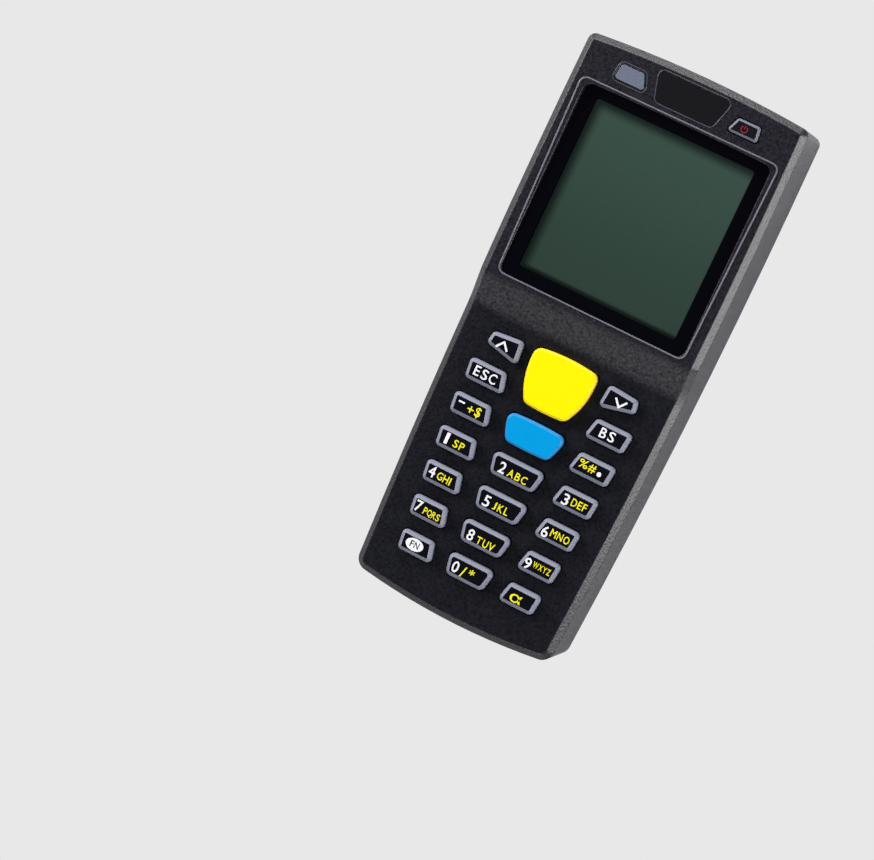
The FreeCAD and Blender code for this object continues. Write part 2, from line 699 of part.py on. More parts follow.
def keypad():
    """All the keys that stand in the keypad, from the head to the foot."""
    keys = [
        Key("key_up", arrow_key, "key_corner", ("-arrow_key_offset", "arrow_key_place")),
        Key("key_down", lambda m: mirrored(arrow_key(m)), "key_corner", ("arrow_key_offset", "arrow_key_place")),
    ]
    for kind in ("scan", "enter"):
        keys.append(Key(f"key_{kind}", lambda m, k=kind: shield_key(k, m), f"{kind}_key_corner",
                        ("0", f"{kind}_key_place"), lambda m, k=kind: shield_arcs(k, m), "colour_key_bevel"))
    rows = [("escape", "key_escape", "key_backspace"), ("minus", "key_minus", "key_percent"),
            ("one", "key_1", "key_3"), ("four", "key_4", "key_6"), ("seven", "key_7", "key_9"),
            ("last", "key_fn", "key_alpha")]
    for row, (name, left, right) in enumerate(rows):
        offset = f"{name}_row_offset"
        width = f"{name}_row_width"
        place = row_place(row)
        keys.append(Key(left, lambda m, o=offset, p=place, w=width: side_key(o, p, w, m),
                        "key_corner", (f"-{offset}", place)))
        keys.append(Key(right, lambda m, o=offset, p=place, w=width: mirrored(side_key(o, p, w, m)),
                        "key_corner", (offset, place)))
    for row, (label, width) in enumerate((("key_2", "two_key_width"), ("key_5", "five_key_width"),
                                          ("key_8", "eight_key_width"), ("key_0", "zero_key_width")), 2):
        place = row_place(row)
        keys.append(Key(label, lambda m, p=place, w=width: middle_key(p, w, m), "middle_key_corner", ("0", place)))
    return keys


FLANGE_TOP = "(keypad_height - front_skin - flange_gap)"
FLANGE_LOW = f"({FLANGE_TOP} - flange_thickness)"
BOARD_TOP = "(board_level + board_thickness)"


def make_key(key):
    """A moulded key: bevelled cap, flange under the front case and stem with its carbon pill."""
    body = new_body(key.label + "_cap")
    sketch = body_sketch(body, key.label + "_outline", FLANGE_TOP)
    draw_outline(sketch, key.corners("0"), key.arcs("0"))
    pad(body, sketch, f"keypad_height + key_rise - {FLANGE_TOP}")
    round_uprights(body, key.corner)
    bevel_top(body, key.bevel)
    sketch = body_sketch(body, key.label + "_skirt", FLANGE_LOW)
    draw_outline(sketch, key.corners("flange_margin"), key.arcs("flange_margin"))
    pad(body, sketch, "flange_thickness")
    sketch = body_sketch(body, key.label + "_stem", f"{BOARD_TOP} + key_gap + pill_thickness")
    draw_circle(sketch, key.middle[0], key.middle[1], "stem_radius")
    pad(body, sketch, f"{FLANGE_LOW} - ({BOARD_TOP} + key_gap + pill_thickness)")
    pill = rod(key.label + "_pill", (key.middle[0], key.middle[1], f"{BOARD_TOP} + key_gap"),
               "stem_radius", "pill_thickness")
    return group(key.label, body, pill)


def key_cutters(name, keys, margin, low, high, rounding):
    """One solid for each key's opening, all in one body."""
    body = new_body(name)
    body.AllowCompound = True
    sketch = body_sketch(body, name + "_outlines", low)
    for key in keys:
        draw_outline(sketch, key.corners(f"({margin})"), key.arcs(f"({margin})"))
    pad(body, sketch, f"({high}) - ({low})")
    round_uprights(body, rounding)
    return body


def band_cutter(name, margin, low, high, right, rounding="band_corner"):
    """A cutter with the band's outline, on the left or the right."""
    body = new_body(name)
    sketch = body_sketch(body, name + "_outline", low)
    corners = band_shape(margin)
    draw_outline(sketch, mirrored(corners) if right else corners)
    pad(body, sketch, f"({high}) - ({low})")
    round_uprights(body, rounding)
    return body


HEAD_TILT = "((head_height - chin_top_height) / (body_length / 2 + 1 - chin_top_place))"
HEAD_ABOVE = "head_height + 3"


def head_level(place):
    """Height of the front face in the head, at a place along Y."""
    return f"(chin_top_height + {HEAD_TILT} * ({place} - chin_top_place))"


def window_corners(margin):
    """The display lens's outline."""
    half = f"(window_width / 2 + {margin})"
    return [(f"-{half}", f"window_bottom - {margin}"), (half, f"window_bottom - {margin}"),
            (half, f"window_top + {margin}"), (f"-{half}", f"window_top + {margin}")]


def window_arcs():
    """The bow of its lower edge and the arch of its upper one."""
    return {0: "window_bottom_radius", 2: "window_top_radius"}


def plate_body(label, margin, low, thickness):
    """The name plate's outline, lying on the tilted head face."""
    body = new_body(label)
    sketch = body_sketch(body, label + "_outline")
    tilt = math.degrees(math.atan(number(HEAD_TILT)))
    sketch.AttachmentOffset = FreeCAD.Placement(Vector(), FreeCAD.Rotation(Vector(1, 0, 0), tilt))
    tie(sketch, AttachmentOffset__Base__y="plate_bottom",
        AttachmentOffset__Base__z=f"{head_level('plate_bottom')} - ({low})")
    half_foot = f"(plate_foot / 2 + {margin})"
    half_top = f"(plate_width / 2 + {margin})"
    draw_outline(sketch, [(f"-{half_foot}", f"-{margin}"), (half_foot, f"-{margin}"),
                          (half_top, f"plate_top - plate_bottom + {margin}"),
                          (f"-{half_top}", f"plate_top - plate_bottom + {margin}")])
    pad(body, sketch, thickness)
    round_uprights(body, "plate_corner")
    return body


BOSSES = [("head_left", "-head_boss_offset", "head_boss_place"), ("head_right", "head_boss_offset", "head_boss_place"),
          ("foot_left", "-foot_boss_offset", "foot_boss_place"), ("foot_right", "foot_boss_offset", "foot_boss_place")]


def make_front_case(form, keys):
    """The front moulding: face, bevel, tongue, display ledge, key openings and screw bosses."""
    outer = common("front_outer", form, side_prism("front_part", "0", "seam_drop", HEAD_ABOVE))
    hollow = common("front_hollow", plan_prism("front_inside", "shell_wall", "0", HEAD_ABOVE),
                    side_prism("front_under", "0", "front_skin"))
    tongue_ring = cut("tongue_ring", plan_prism("tongue_outside", "tongue_inset", "0", HEAD_ABOVE),
                      plan_prism("tongue_inside", "shell_wall", "-1", "head_height + 4"))
    tongue_band = common("tongue_band", side_prism("tongue_top", "0", "front_skin"),
                         side_prism("tongue_low", "0", "seam_drop + tongue_depth", HEAD_ABOVE))
    tongue = common("tongue", tongue_ring, tongue_band)
    ledge = common("display_ledge",
                   block("ledge_block", ("-module_width / 2 - frame_wall - 0.4", "module_width / 2 + frame_wall + 0.4"),
                         ("module_bottom - frame_wall - 1", "module_top + frame_wall + 0.4"),
                         ("window_level - window_thickness - ledge_thickness", HEAD_ABOVE)),
                   side_prism("ledge_under", "0", "front_skin / 2"))
    shell = fuse("front_shell", cut("front_skinned", outer, hollow), tongue, ledge)
    bosses = []
    for name, x, y in BOSSES:
        post = rod(f"front_boss_{name}", (x, y, "boss_split + boss_gap"), "boss_radius",
                   f"{HEAD_ABOVE} - boss_split - boss_gap")
        bosses.append(common(f"front_post_{name}", post, side_prism(f"front_post_{name}_top", "0", "front_skin / 2")))
    shell = fuse("front_with_bosses", shell, *bosses)
    tools = [key_cutters("key_openings", keys, "key_clearance", "keypad_height - front_skin - 4",
                         "keypad_height + 1", "key_corner + key_clearance")]
    lens_seat = new_body("window_seat")
    sketch = body_sketch(lens_seat, "window_seat_outline", "window_level - window_thickness")
    draw_outline(sketch, window_corners("window_clearance"), window_arcs())
    pad(lens_seat, sketch, f"{HEAD_ABOVE} - window_level + window_thickness")
    round_uprights(lens_seat, "window_corner + window_clearance")
    tools.append(lens_seat)
    tools.append(block("display_opening", ("-window_width / 2 + ledge_reach", "window_width / 2 - ledge_reach"),
                       ("window_bottom + ledge_reach", "window_top - ledge_reach"), ("keypad_height - 4", HEAD_ABOVE)))
    tools.append(make_bezel_funnel())
    tools.append(band_cutter("lens_opening", "lens_clearance", "boss_split", HEAD_ABOVE, False))
    tools.append(band_cutter("power_opening", "key_clearance", "boss_split", HEAD_ABOVE, True))
    tools.append(plate_body("plate_pocket", "plate_clearance", "plate_recess", "plate_recess + 2"))
    for name, x, y in BOSSES:
        tools.append(rod(f"pilot_{name}", (x, y, "boss_split"), "screw_radius + pin_clearance",
                         "screw_recess + screw_length + 0.3 - boss_split"))
    case = cut("front_case", shell, fuse("front_tools", *tools))
    case.Label = "front_case"
    return case


def make_bezel_funnel():
    """The space above the lens, whose sides lean outwards up to the front face."""
    body = new_body("bezel_funnel")
    rise = "head_height + 1 - window_level"
    spread = f"(({rise}) / tan(bezel_slope))"
    lower = body_sketch(body, "bezel_lower", "window_level")
    draw_outline(lower, window_corners("window_clearance"), window_arcs())
    upper = body_sketch(body, "bezel_upper", "head_height + 1")
    wide = window_corners(spread)
    flat_foot = [(x, "window_bottom - window_clearance") for x, _ in wide[:2]]
    draw_outline(upper, flat_foot + wide[2:], window_arcs())
    loft = body.newObject("PartDesign::AdditiveLoft", "bezel_loft")
    loft.Profile = lower
    loft.Sections = [upper]
    loft.Ruled = True
    doc.recompute()
    leaning = []
    for index, edge in enumerate(body.Shape.Edges, 1):
        ends = [vertex.Point for vertex in edge.Vertexes]
        if len(ends) == 2 and abs(ends[0].z - ends[1].z) > 0.5 and edge.CenterOfMass.y > number("chin_top_place"):
            leaning.append(f"Edge{index}")
    rounding = body.newObject("PartDesign::Fillet", "bezel_corners")
    rounding.Base = (loft, leaning)
    tie(rounding, Radius="window_corner + window_clearance + 0.6")
    return body


def make_rear_case(form):
    """The rear moulding: back, walls, battery bay, door rim, bosses, strap recess and end openings."""
    head_end = "(body_length / 2)"
    foot_end = "(-body_length / 2)"
    above = "head_height + 4"
    lower = side_prism("rear_part", "-1", "seam_drop + seam_gap")
    outer = common("rear_outer", form, lower)
    inside = plan_prism("rear_inside", "shell_wall", "back_skin", above)
    rebate = common("rear_rebate", plan_prism("rebate_plan", "tongue_inset - tongue_clearance", "0", above),
                    side_prism("rebate_low", "0", "seam_drop + tongue_depth + tongue_clearance", above))
    shell = cut("rear_shell", outer, fuse("rear_cavity", inside, rebate))
    half_rim = "(door_width / 2 + door_clearance + rim_reach)"
    half_bay = "(bay_width / 2 + bay_wall)"
    bay_end = "(bay_start + bay_length)"
    solids = [
        block("door_rim", (f"-{half_rim}", half_rim), ("hinge_place - knuckle_radius - rim_reach", "door_end + rim_reach"),
              ("0", "rim_height")),
        block("bay_tub", (f"-{half_bay}", half_bay), ("bay_start - bay_wall", f"{bay_end} + bay_wall"),
              ("0", "bay_height + bay_roof")),
        common("strap_tub", plan_prism("strap_plan", "shell_wall / 2", "back_skin / 2", above),
               block("strap_tub_block", ("strap_offset - strap_width / 2 - strap_wall", "strap_offset + strap_width / 2 + strap_wall"),
                     (f"{foot_end}", f"{foot_end} + strap_depth + strap_wall"), ("back_skin / 2", "strap_height + strap_wall"))),
    ]
    for name, x, y in BOSSES:
        solids.append(rod(f"rear_boss_{name}", (x, y, "back_skin / 2"), "boss_radius", "boss_split - back_skin / 2"))
        base = rod(f"rear_base_{name}", (x, y, "back_skin / 2"), "boss_base_radius",
                   "boss_base_height - back_skin / 2")
        limit = plan_prism(f"rear_base_{name}_limit", "shell_wall / 2", "0", above)
        solids.append(common(f"rear_base_{name}_kept", base, limit))
    for side, x in (("left", "-stand_offset"), ("right", "stand_offset")):
        solids.append(rod(f"stand_{side}", (x, "stand_place", "back_skin / 2"), "stand_radius",
                          "board_level - back_skin / 2"))
    half_door = "(door_width / 2 + door_clearance)"
    half_slot = "(latch_width / 2 + door_clearance)"
    knuckle_room = "(knuckle_radius + door_clearance)"
    half_pane = "(aperture_width / 2 + pane_margin)"
    tall_pane = "(aperture_height / 2 + pane_margin)"
    tools = [
        block("bay_room", ("-bay_width / 2", "bay_width / 2"), ("bay_start", bay_end), ("-1", "bay_height")),
        block("door_room", (f"-{half_door}", half_door), ("hinge_place", "door_end + door_clearance"),
              ("-1", "door_thickness + door_clearance")),
        rod("knuckle_room", (f"-{half_door}", "hinge_place", "hinge_level"), knuckle_room, f"2 * {half_door}", ALONG_X),
        block("knuckle_mouth", (f"-{half_door}", half_door), (f"hinge_place - {knuckle_room}", "hinge_place"),
              ("-1", "hinge_level")),
        rod("trunnion_room", ("-door_width / 2 - trunnion_length", "hinge_place", "hinge_level"),
            "trunnion_radius + trunnion_clearance", "door_width + 2 * trunnion_length", ALONG_X),
        block("latch_room", (f"-{half_slot}", half_slot),
              ("door_end - latch_inset - latch_leaf - door_clearance", "door_end + latch_hook + door_clearance"),
              ("door_thickness + door_clearance", "rim_height + 1")),
        rod("jack_hole", ("0", f"{foot_end} - 1", "jack_level"), "jack_nose + jack_clearance",
            "shell_wall + 2", ALONG_Y),
        block("strap_room", ("strap_offset - strap_width / 2", "strap_offset + strap_width / 2"),
              (f"{foot_end} - 1", f"{foot_end} + strap_depth"), ("-1", "strap_height")),
        rod("strap_pin_room", ("strap_offset - strap_width / 2 - strap_pin_seat", f"{foot_end} + strap_pin_inset",
                               "strap_pin_level"),
            "strap_pin_radius + pin_clearance", "strap_width + 2 * strap_pin_seat", ALONG_X),
        block("scan_opening", ("-aperture_width / 2", "aperture_width / 2"), (f"{head_end} - 6", f"{head_end} + 1"),
              ("aperture_level - aperture_height / 2", "aperture_level + aperture_height / 2")),
        block("pane_room", (f"-{half_pane} - pane_clearance", f"{half_pane} + pane_clearance"),
              (f"{head_end} - pane_inset", f"{head_end} + 1"),
              (f"aperture_level - {tall_pane} - pane_clearance", f"aperture_level + {tall_pane} + pane_clearance")),
    ]
    for name, x, y in BOSSES:
        tools.append(rod(f"shank_hole_{name}", (x, y, "-1"), "screw_radius + screw_clearance", "boss_split + 2"))
        tools.append(rod(f"screw_recess_{name}", (x, y, "-1"), "screw_recess_radius", "screw_recess + 1"))
    for side, x in (("left", "-stand_offset"), ("right", "stand_offset")):
        tools.append(rod(f"stand_hole_{side}", (x, "stand_place", "board_level - board_screw_length"),
                         "board_screw_radius + pin_clearance", "board_screw_length + 1"))
    case = cut("rear_case", fuse("rear_solid", shell, *solids), fuse("rear_tools", *tools))
    case.Label = "rear_case"
    return case


def make_window():
    """The display lens."""
    body = new_body("display_window")
    sketch = body_sketch(body, "lens_outline", "window_level - window_thickness")
    draw_outline(sketch, window_corners("0"), window_arcs())
    pad(body, sketch, "window_thickness")
    round_uprights(body, "window_corner")
    return body


def layer(label, half, foot, top, low, thickness):
    """A flat rectangular piece that lies across the terminal."""
    body = new_body(label)
    sketch = body_sketch(body, label + "_outline", low)
    draw_outline(sketch, [(f"-{half}", foot), (half, foot), (half, top), (f"-{half}", top)])
    pad(body, sketch, thickness)
    return body


def make_display():
    """Frame, light guide and panel, stacked on the board."""
    gap = "display_clearance"
    half = "(module_width / 2)"
    half_frame = f"({half} + {gap} + frame_wall)"
    frame_top = f"(window_level - window_thickness - ledge_thickness - {gap})"
    frame_low = f"({BOARD_TOP} + part_seat)"
    guide_low = f"({frame_low} + frame_floor)"
    frame = layer("lcd_frame", half_frame, f"module_bottom - {gap} - frame_wall", f"module_top + {gap} + frame_wall",
                  frame_low, f"{frame_top} - {frame_low}")
    doc.recompute()
    sketch = body_sketch(frame, "frame_room", guide_low)
    draw_outline(sketch, [(f"-{half} - {gap}", f"module_bottom - {gap}"), (f"{half} + {gap}", f"module_bottom - {gap}"),
                          (f"{half} + {gap}", f"module_top + {gap}"), (f"-{half} - {gap}", f"module_top + {gap}")])
    pocket(frame, sketch, "head_height")
    guide = layer("light_guide", half, "module_bottom", "module_top", guide_low, "guide_thickness")
    panel_low = f"({guide_low} + guide_thickness + {gap})"
    panel = layer("lcd_panel", half, "module_bottom", "module_top", panel_low, "panel_thickness")
    return [frame, guide, panel]


def make_mat(keys):
    """The silicone mat on the board, with a window round each key."""
    mat_top = f"({FLANGE_TOP})"
    plan = common("mat_plan", plan_prism("mat_outline", "mat_inset", BOARD_TOP, mat_top),
                  block("mat_block", ("-top_width", "top_width"), ("mat_foot_place", "mat_top_place"),
                        (BOARD_TOP, mat_top)))
    tools = [key_cutters("mat_openings", keys, "flange_margin + mat_clearance", "board_level", "keypad_height",
                         "mat_clearance")]
    for name, x, y in BOSSES[2:]:
        tools.append(rod(f"mat_notch_{name}", (x, y, "board_level"), "boss_radius + board_hole_clearance",
                         "keypad_height"))
    mat = cut("keypad_mat", plan, fuse("mat_tools", *tools))
    mat.Label = "keypad_mat"
    return mat


def make_board():
    """The main board, notched for the screw bosses and drilled for its own screws."""
    tools = []
    for name, x, y in BOSSES:
        tools.append(rod(f"board_notch_{name}", (x, y, "0"), "boss_radius + board_hole_clearance", "head_height"))
    for side, x in (("left", "-stand_offset"), ("right", "stand_offset")):
        tools.append(rod(f"board_hole_{side}", (x, "stand_place", "0"), "board_screw_radius + pin_clearance",
                         "head_height"))
    board = cut("main_board", plan_prism("board_plan", "board_inset", "board_level", BOARD_TOP),
                fuse("board_tools", *tools))
    board.Label = "main_board"
    return board


def make_power_key():
    """The power key: bevelled cap, flange and a stem that enters its switch."""
    body = new_body("power_key")
    flange_top = f"({head_level('band_place')} - power_flange_drop)"
    flange_low = f"({flange_top} - flange_thickness)"
    sketch = body_sketch(body, "power_outline", flange_top)
    draw_outline(sketch, mirrored(band_shape("0")))
    pad(body, sketch, "power_rise + power_flange_drop")
    round_uprights(body, "band_corner")
    bevel_top(body, "power_bevel")
    sketch = body_sketch(body, "power_skirt", flange_low)
    draw_outline(sketch, mirrored(band_shape("flange_margin")))
    pad(body, sketch, "flange_thickness")
    stem_low = f"({BOARD_TOP} + part_seat + switch_height - power_stem_entry)"
    sketch = body_sketch(body, "power_stem", stem_low)
    draw_circle(sketch, "band_offset", "band_place", "power_stem_radius")
    pad(body, sketch, f"{flange_low} - {stem_low}")
    return body


def make_power_switch():
    """The switch under the power key, with a guide for its stem."""
    low = f"({BOARD_TOP} + part_seat)"
    body = new_body("power_switch")
    sketch = body_sketch(body, "switch_outline", low)
    draw_outline(sketch, [("band_offset - switch_size / 2", "band_place - switch_size / 2"),
                          ("band_offset + switch_size / 2", "band_place - switch_size / 2"),
                          ("band_offset + switch_size / 2", "band_place + switch_size / 2"),
                          ("band_offset - switch_size / 2", "band_place + switch_size / 2")])
    pad(body, sketch, "switch_height")
    doc.recompute()
    sketch = body_sketch(body, "switch_bore", f"{low} + switch_height - switch_guide_depth")
    draw_circle(sketch, "band_offset", "band_place", "switch_guide")
    pocket(body, sketch, "switch_guide_depth + 1")
    return body


def make_status_light():
    """The lens in the front and the light under it."""
    light_top = f"({BOARD_TOP} + part_seat + led_height)"
    lens = new_body("status_lens")
    sketch = body_sketch(lens, "status_outline", f"{light_top} + led_gap")
    draw_outline(sketch, band_shape("0"))
    pad(lens, sketch, f"{head_level('band_place')} + lens_rise - {light_top} - led_gap")
    round_uprights(lens, "band_corner")
    light = new_body("status_light")
    sketch = body_sketch(light, "light_outline", f"{BOARD_TOP} + part_seat")
    draw_circle(sketch, "-band_offset", "band_place", "led_radius")
    pad(light, sketch, "led_height")
    return [lens, light]


def make_scan_head():
    """Scan engine, its lens and the window in the head end."""
    low = "(back_skin + engine_seat)"
    engine = new_body("scan_engine")
    sketch = body_sketch(engine, "engine_outline", low)
    half = "(engine_width / 2)"
    draw_outline(sketch, [(f"-{half}", "engine_front - engine_length"), (half, "engine_front - engine_length"),
                          (half, "engine_front"), (f"-{half}", "engine_front")])
    pad(engine, sketch, "engine_height")
    bevel_top(engine, "key_bevel")
    lens = rod("scan_lens", ("0", "engine_front", "aperture_level"), "engine_lens_radius",
               "engine_lens_reach", ALONG_Y)
    pane = new_body("scan_window")
    half = "(aperture_width / 2 + pane_margin)"
    tall = "(aperture_height / 2 + pane_margin)"
    sketch = body_sketch(pane, "pane_outline", "pane_inset - body_length / 2", "XZ_Plane")
    draw_outline(sketch, [(f"-{half}", f"aperture_level - {tall}"), (half, f"aperture_level - {tall}"),
                          (half, f"aperture_level + {tall}"), (f"-{half}", f"aperture_level + {tall}")])
    feature = pad(pane, sketch, "pane_thickness")
    feature.Reversed = True
    return [engine, lens, pane]


def make_battery():
    """Two cells and their contacts."""
    cells = []
    contacts = []
    for side, x, nub_first in (("left", "-cell_spacing / 2", False), ("right", "cell_spacing / 2", True)):
        spring_room = "(bay_length - cell_length - nub_length - contact_thickness - contact_reach) / 2"
        start = f"(bay_start + contact_thickness + contact_reach + {spring_room})" if not nub_first else \
            f"(bay_start + contact_thickness + nub_length + {spring_room})"
        can = rod(f"can_{side}", (x, start, "cell_level"), "cell_radius", "cell_length", ALONG_Y)
        nub_start = f"{start} + cell_length" if not nub_first else f"{start} - nub_length"
        nub = rod(f"nub_{side}", (x, nub_start, "cell_level"), "nub_radius", "nub_length", ALONG_Y)
        cells.append(fuse(f"cell_{side}", can, nub))
        spring_first = not nub_first
        for end, springs in (("foot", spring_first), ("head", not spring_first)):
            contacts.append(make_contact(f"contact_{side}_{end}", x, end, springs))
    return [group("battery_cells", *cells), group("battery_contacts", *contacts)]


def make_contact(name, x, end, springs):
    """A contact strip against one end of the bay; a springy one bows into the bay."""
    low = "(cell_level - contact_height / 2)"
    high = "(cell_level + contact_height / 2)"
    sign = "" if end == "foot" else "-"
    wall = "bay_start" if end == "foot" else "(bay_start + bay_length)"
    sketch = doc.addObject("Sketcher::SketchObject", name + "_profile")
    sketch.Placement = FreeCAD.Placement(Vector(), SIDE_VIEW)
    reach = "contact_reach" if springs else "0"
    back = [(wall, low), (f"{wall} {sign or '+'} {reach}", "cell_level"), (wall, high)]
    face = [(f"{wall} {sign or '+'} contact_thickness", high),
            (f"{wall} {sign or '+'} ({reach} + contact_thickness)", "cell_level"),
            (f"{wall} {sign or '+'} contact_thickness", low)]
    corners = back + face
    draw_outline(sketch, corners if end == "head" else corners[::-1])
    tie(sketch, Placement__Base__x=f"{x} - contact_width / 2")
    return extrusion(name, sketch, Vector(1, 0, 0), "contact_width")


def make_door():
    """The battery door: slab with a rolled end, trunnions, finger grooves and its snap tongue."""
    half = "(door_width / 2)"
    slab = block("door_slab", (f"-{half}", half), ("hinge_place", "door_end"), ("0", "door_thickness"))
    knuckle = rod("door_knuckle", (f"-{half}", "hinge_place", "hinge_level"), "knuckle_radius", "door_width", ALONG_X)
    trunnions = rod("door_trunnions", (f"-{half} - trunnion_length + trunnion_clearance * 2", "hinge_place", "hinge_level"),
                    "trunnion_radius", "door_width + 2 * trunnion_length - trunnion_clearance * 4", ALONG_X)
    grooves = [block(f"groove_{index}", ("-door_width / 5", "door_width / 5"),
                     (f"door_end - 5 - {index} * grip_pitch - grip_width", f"door_end - 5 - {index} * grip_pitch"),
                     ("-1", "grip_depth")) for index in range(4)]
    door = cut("battery_door", fuse("door_solid", slab, knuckle, trunnions), fuse("door_grooves", *grooves))
    door.Label = "battery_door"
    latch = new_body("door_latch")
    sketch = body_sketch(latch, "latch_profile", "-latch_width / 2", "YZ_Plane")
    back = "door_end - latch_inset - latch_leaf"
    face = "door_end - latch_inset"
    low = "door_thickness"
    top = "door_thickness + latch_height"
    hook = "door_thickness + latch_height / 2"
    draw_outline(sketch, [(back, low), (face, low), (face, hook), ("door_end + latch_hook", hook),
                          ("door_end + latch_hook / 2", top), (back, top)])
    pad(latch, sketch, "latch_width")
    return [door, latch]


def make_foot_end():
    """Data jack and strap pin."""
    foot_end = "(-body_length / 2)"
    nose = rod("jack_nose_ring", ("0", f"{foot_end} + jack_inset", "jack_level"), "jack_nose",
               "jack_body_start - jack_inset", ALONG_Y)
    body = block("jack_block", ("-jack_width / 2", "jack_width / 2"),
                 (f"{foot_end} + jack_body_start", f"{foot_end} + jack_body_start + jack_body_length"),
                 ("jack_level - jack_nose", "board_level - part_seat"))
    bore = rod("jack_bore_room", ("0", f"{foot_end} + jack_inset - 1", "jack_level"), "jack_bore", "jack_depth + 1",
               ALONG_Y)
    jack = cut("data_jack", fuse("jack_solid", nose, body), bore)
    jack.Label = "data_jack"
    pin = rod("strap_pin", ("strap_offset - strap_width / 2 - strap_pin_seat", f"{foot_end} + strap_pin_inset",
                            "strap_pin_level"), "strap_pin_radius", "strap_width + 2 * strap_pin_seat", ALONG_X)
    pin.Label = "strap_pin"
    return [jack, pin]


def make_board_parts():
    """Small parts under the board, beside the battery bay and in front of it."""
    under = "(board_level - part_seat)"
    sounder = rod("sounder", ("-small_parts_offset", "stand_place + 12", f"{under} - sounder_height"),
                  "sounder_radius", "sounder_height")
    coin = rod("memory_cell", ("0", "stand_place + 15", f"{under} - coin_height"), "coin_radius", "coin_height")
    motor = rod("vibration_motor", ("small_parts_offset", "stand_place + 6", f"{under} - motor_radius"),
                "motor_radius", "motor_length", ALONG_Y)
    chips = []
    for index, place in enumerate(("stand_place + 24", "stand_place + 24 + chip_size * 0.1")):
        x = ("-chip_size - 1", "-1") if index == 0 else ("1", "1 + chip_size * 0.8")
        chips.append(block(f"chip_{index}", x, (place, f"{place} + chip_size * {1 - 0.2 * index}"),
                           (f"{under} - chip_height", under)))
    for item in (sounder, coin, motor):
        item.Label = item.Name
    return [sounder, coin, motor, group("board_chips", *chips)]


def make_screws():
    """Case screws from the back and board screws from the front."""
    case = []
    for name, x, y in BOSSES:
        case.append(fuse(f"case_screw_{name}",
                         rod(f"case_head_{name}", (x, y, "screw_recess - screw_head_height"), "screw_head_radius",
                             "screw_head_height"),
                         rod(f"case_shank_{name}", (x, y, "screw_recess"), "screw_radius", "screw_length")))
    board = []
    for side, x in (("left", "-stand_offset"), ("right", "stand_offset")):
        board.append(fuse(f"board_screw_{side}",
                          rod(f"board_head_{side}", (x, "stand_place", BOARD_TOP), "board_screw_head",
                              "board_screw_head_height"),
                          rod(f"board_shank_{side}", (x, "stand_place", f"{BOARD_TOP} - board_screw_length"),
                              "board_screw_radius", "board_screw_length")))
    return [group("case_screws", *case), group("board_screws", *board)]


def make_all():
    """Build every piece and return them as nodes."""
    keys = keypad()
    form = make_form()
    nodes = [make_front_case(form, keys), make_rear_case(form), make_window()]
    nodes.append(plate_body("name_plate", "0", "plate_recess", "plate_thickness"))
    nodes += make_display()
    nodes += make_status_light()
    nodes += [make_power_key(), make_power_switch(), make_board(), make_mat(keys)]
    nodes += [make_key(key) for key in keys]
    nodes += make_scan_head() + make_battery() + make_door() + make_foot_end()
    nodes += make_board_parts() + make_screws()
    doc.recompute()
    return nodes


def write_nodes(nodes):
    """Check every object and write each node's solids."""
    for item in doc.Objects:
        bad = [state for state in item.State if state in ("Invalid", "Error")]
        assert not bad, f"{item.Name} is {bad}"
    os.makedirs("parts", exist_ok=True)
    for node in nodes:
        shape = node.Shape
        assert not shape.isNull() and shape.isValid() and shape.Solids, f"{node.Label} has no valid solid"
        shape.exportStep(os.path.join("parts", node.Label + ".step"))
        print(f"{node.Label}: {len(shape.Solids)} solid, {shape.Volume:.1f} mm3")


write_nodes(make_all())
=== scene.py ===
"""Looks of a portable barcode data terminal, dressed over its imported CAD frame.

Frame: metres, X across the terminal, Y towards its head end, Z up out of its screen. Millimetres are
used inside the classes and turned into metres by the MM factor.
"""

import json
import logging
from dataclasses import dataclass, field
from enum import Enum
from typing import Sequence

import bpy
import numpy as np
from mathutils import Matrix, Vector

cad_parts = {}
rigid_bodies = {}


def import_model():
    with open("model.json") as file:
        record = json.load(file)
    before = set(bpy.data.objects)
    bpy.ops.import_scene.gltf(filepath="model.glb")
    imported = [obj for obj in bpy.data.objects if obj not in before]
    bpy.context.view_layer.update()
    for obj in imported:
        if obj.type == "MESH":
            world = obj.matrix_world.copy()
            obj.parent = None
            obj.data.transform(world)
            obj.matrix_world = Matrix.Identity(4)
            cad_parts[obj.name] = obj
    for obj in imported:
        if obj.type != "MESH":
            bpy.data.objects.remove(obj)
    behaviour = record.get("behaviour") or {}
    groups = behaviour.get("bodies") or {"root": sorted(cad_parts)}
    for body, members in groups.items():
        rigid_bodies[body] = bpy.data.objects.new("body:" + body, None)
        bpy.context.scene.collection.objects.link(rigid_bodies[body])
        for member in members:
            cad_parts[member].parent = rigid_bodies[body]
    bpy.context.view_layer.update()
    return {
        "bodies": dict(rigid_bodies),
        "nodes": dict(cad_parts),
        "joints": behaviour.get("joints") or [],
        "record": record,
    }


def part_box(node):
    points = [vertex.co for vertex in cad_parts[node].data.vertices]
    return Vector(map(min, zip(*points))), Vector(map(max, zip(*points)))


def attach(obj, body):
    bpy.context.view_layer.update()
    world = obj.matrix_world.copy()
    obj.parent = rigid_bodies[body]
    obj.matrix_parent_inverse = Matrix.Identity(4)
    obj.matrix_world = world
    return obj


MM = 0.001
SHORTEST_SIDE = 0.02
SHARPEST_TURN = 0.5
LOG = logging.getLogger("data_terminal")

Colour = tuple[float, float, float]
Place = tuple[float, float, float]


def tone(red: int, green: int, blue: int) -> Colour:
    """Turn a display colour into the linear colour that a shader takes.

    Args:
        red: red from 0 to 255.
        green: green from 0 to 255.
        blue: blue from 0 to 255.

    Returns:
        The linear colour.
    """
    share = np.array([red, green, blue], float) / 255.0
    linear = np.where(share <= 0.04045, share / 12.92, ((share + 0.055) / 1.055) ** 2.4)
    return tuple(float(value) for value in linear)


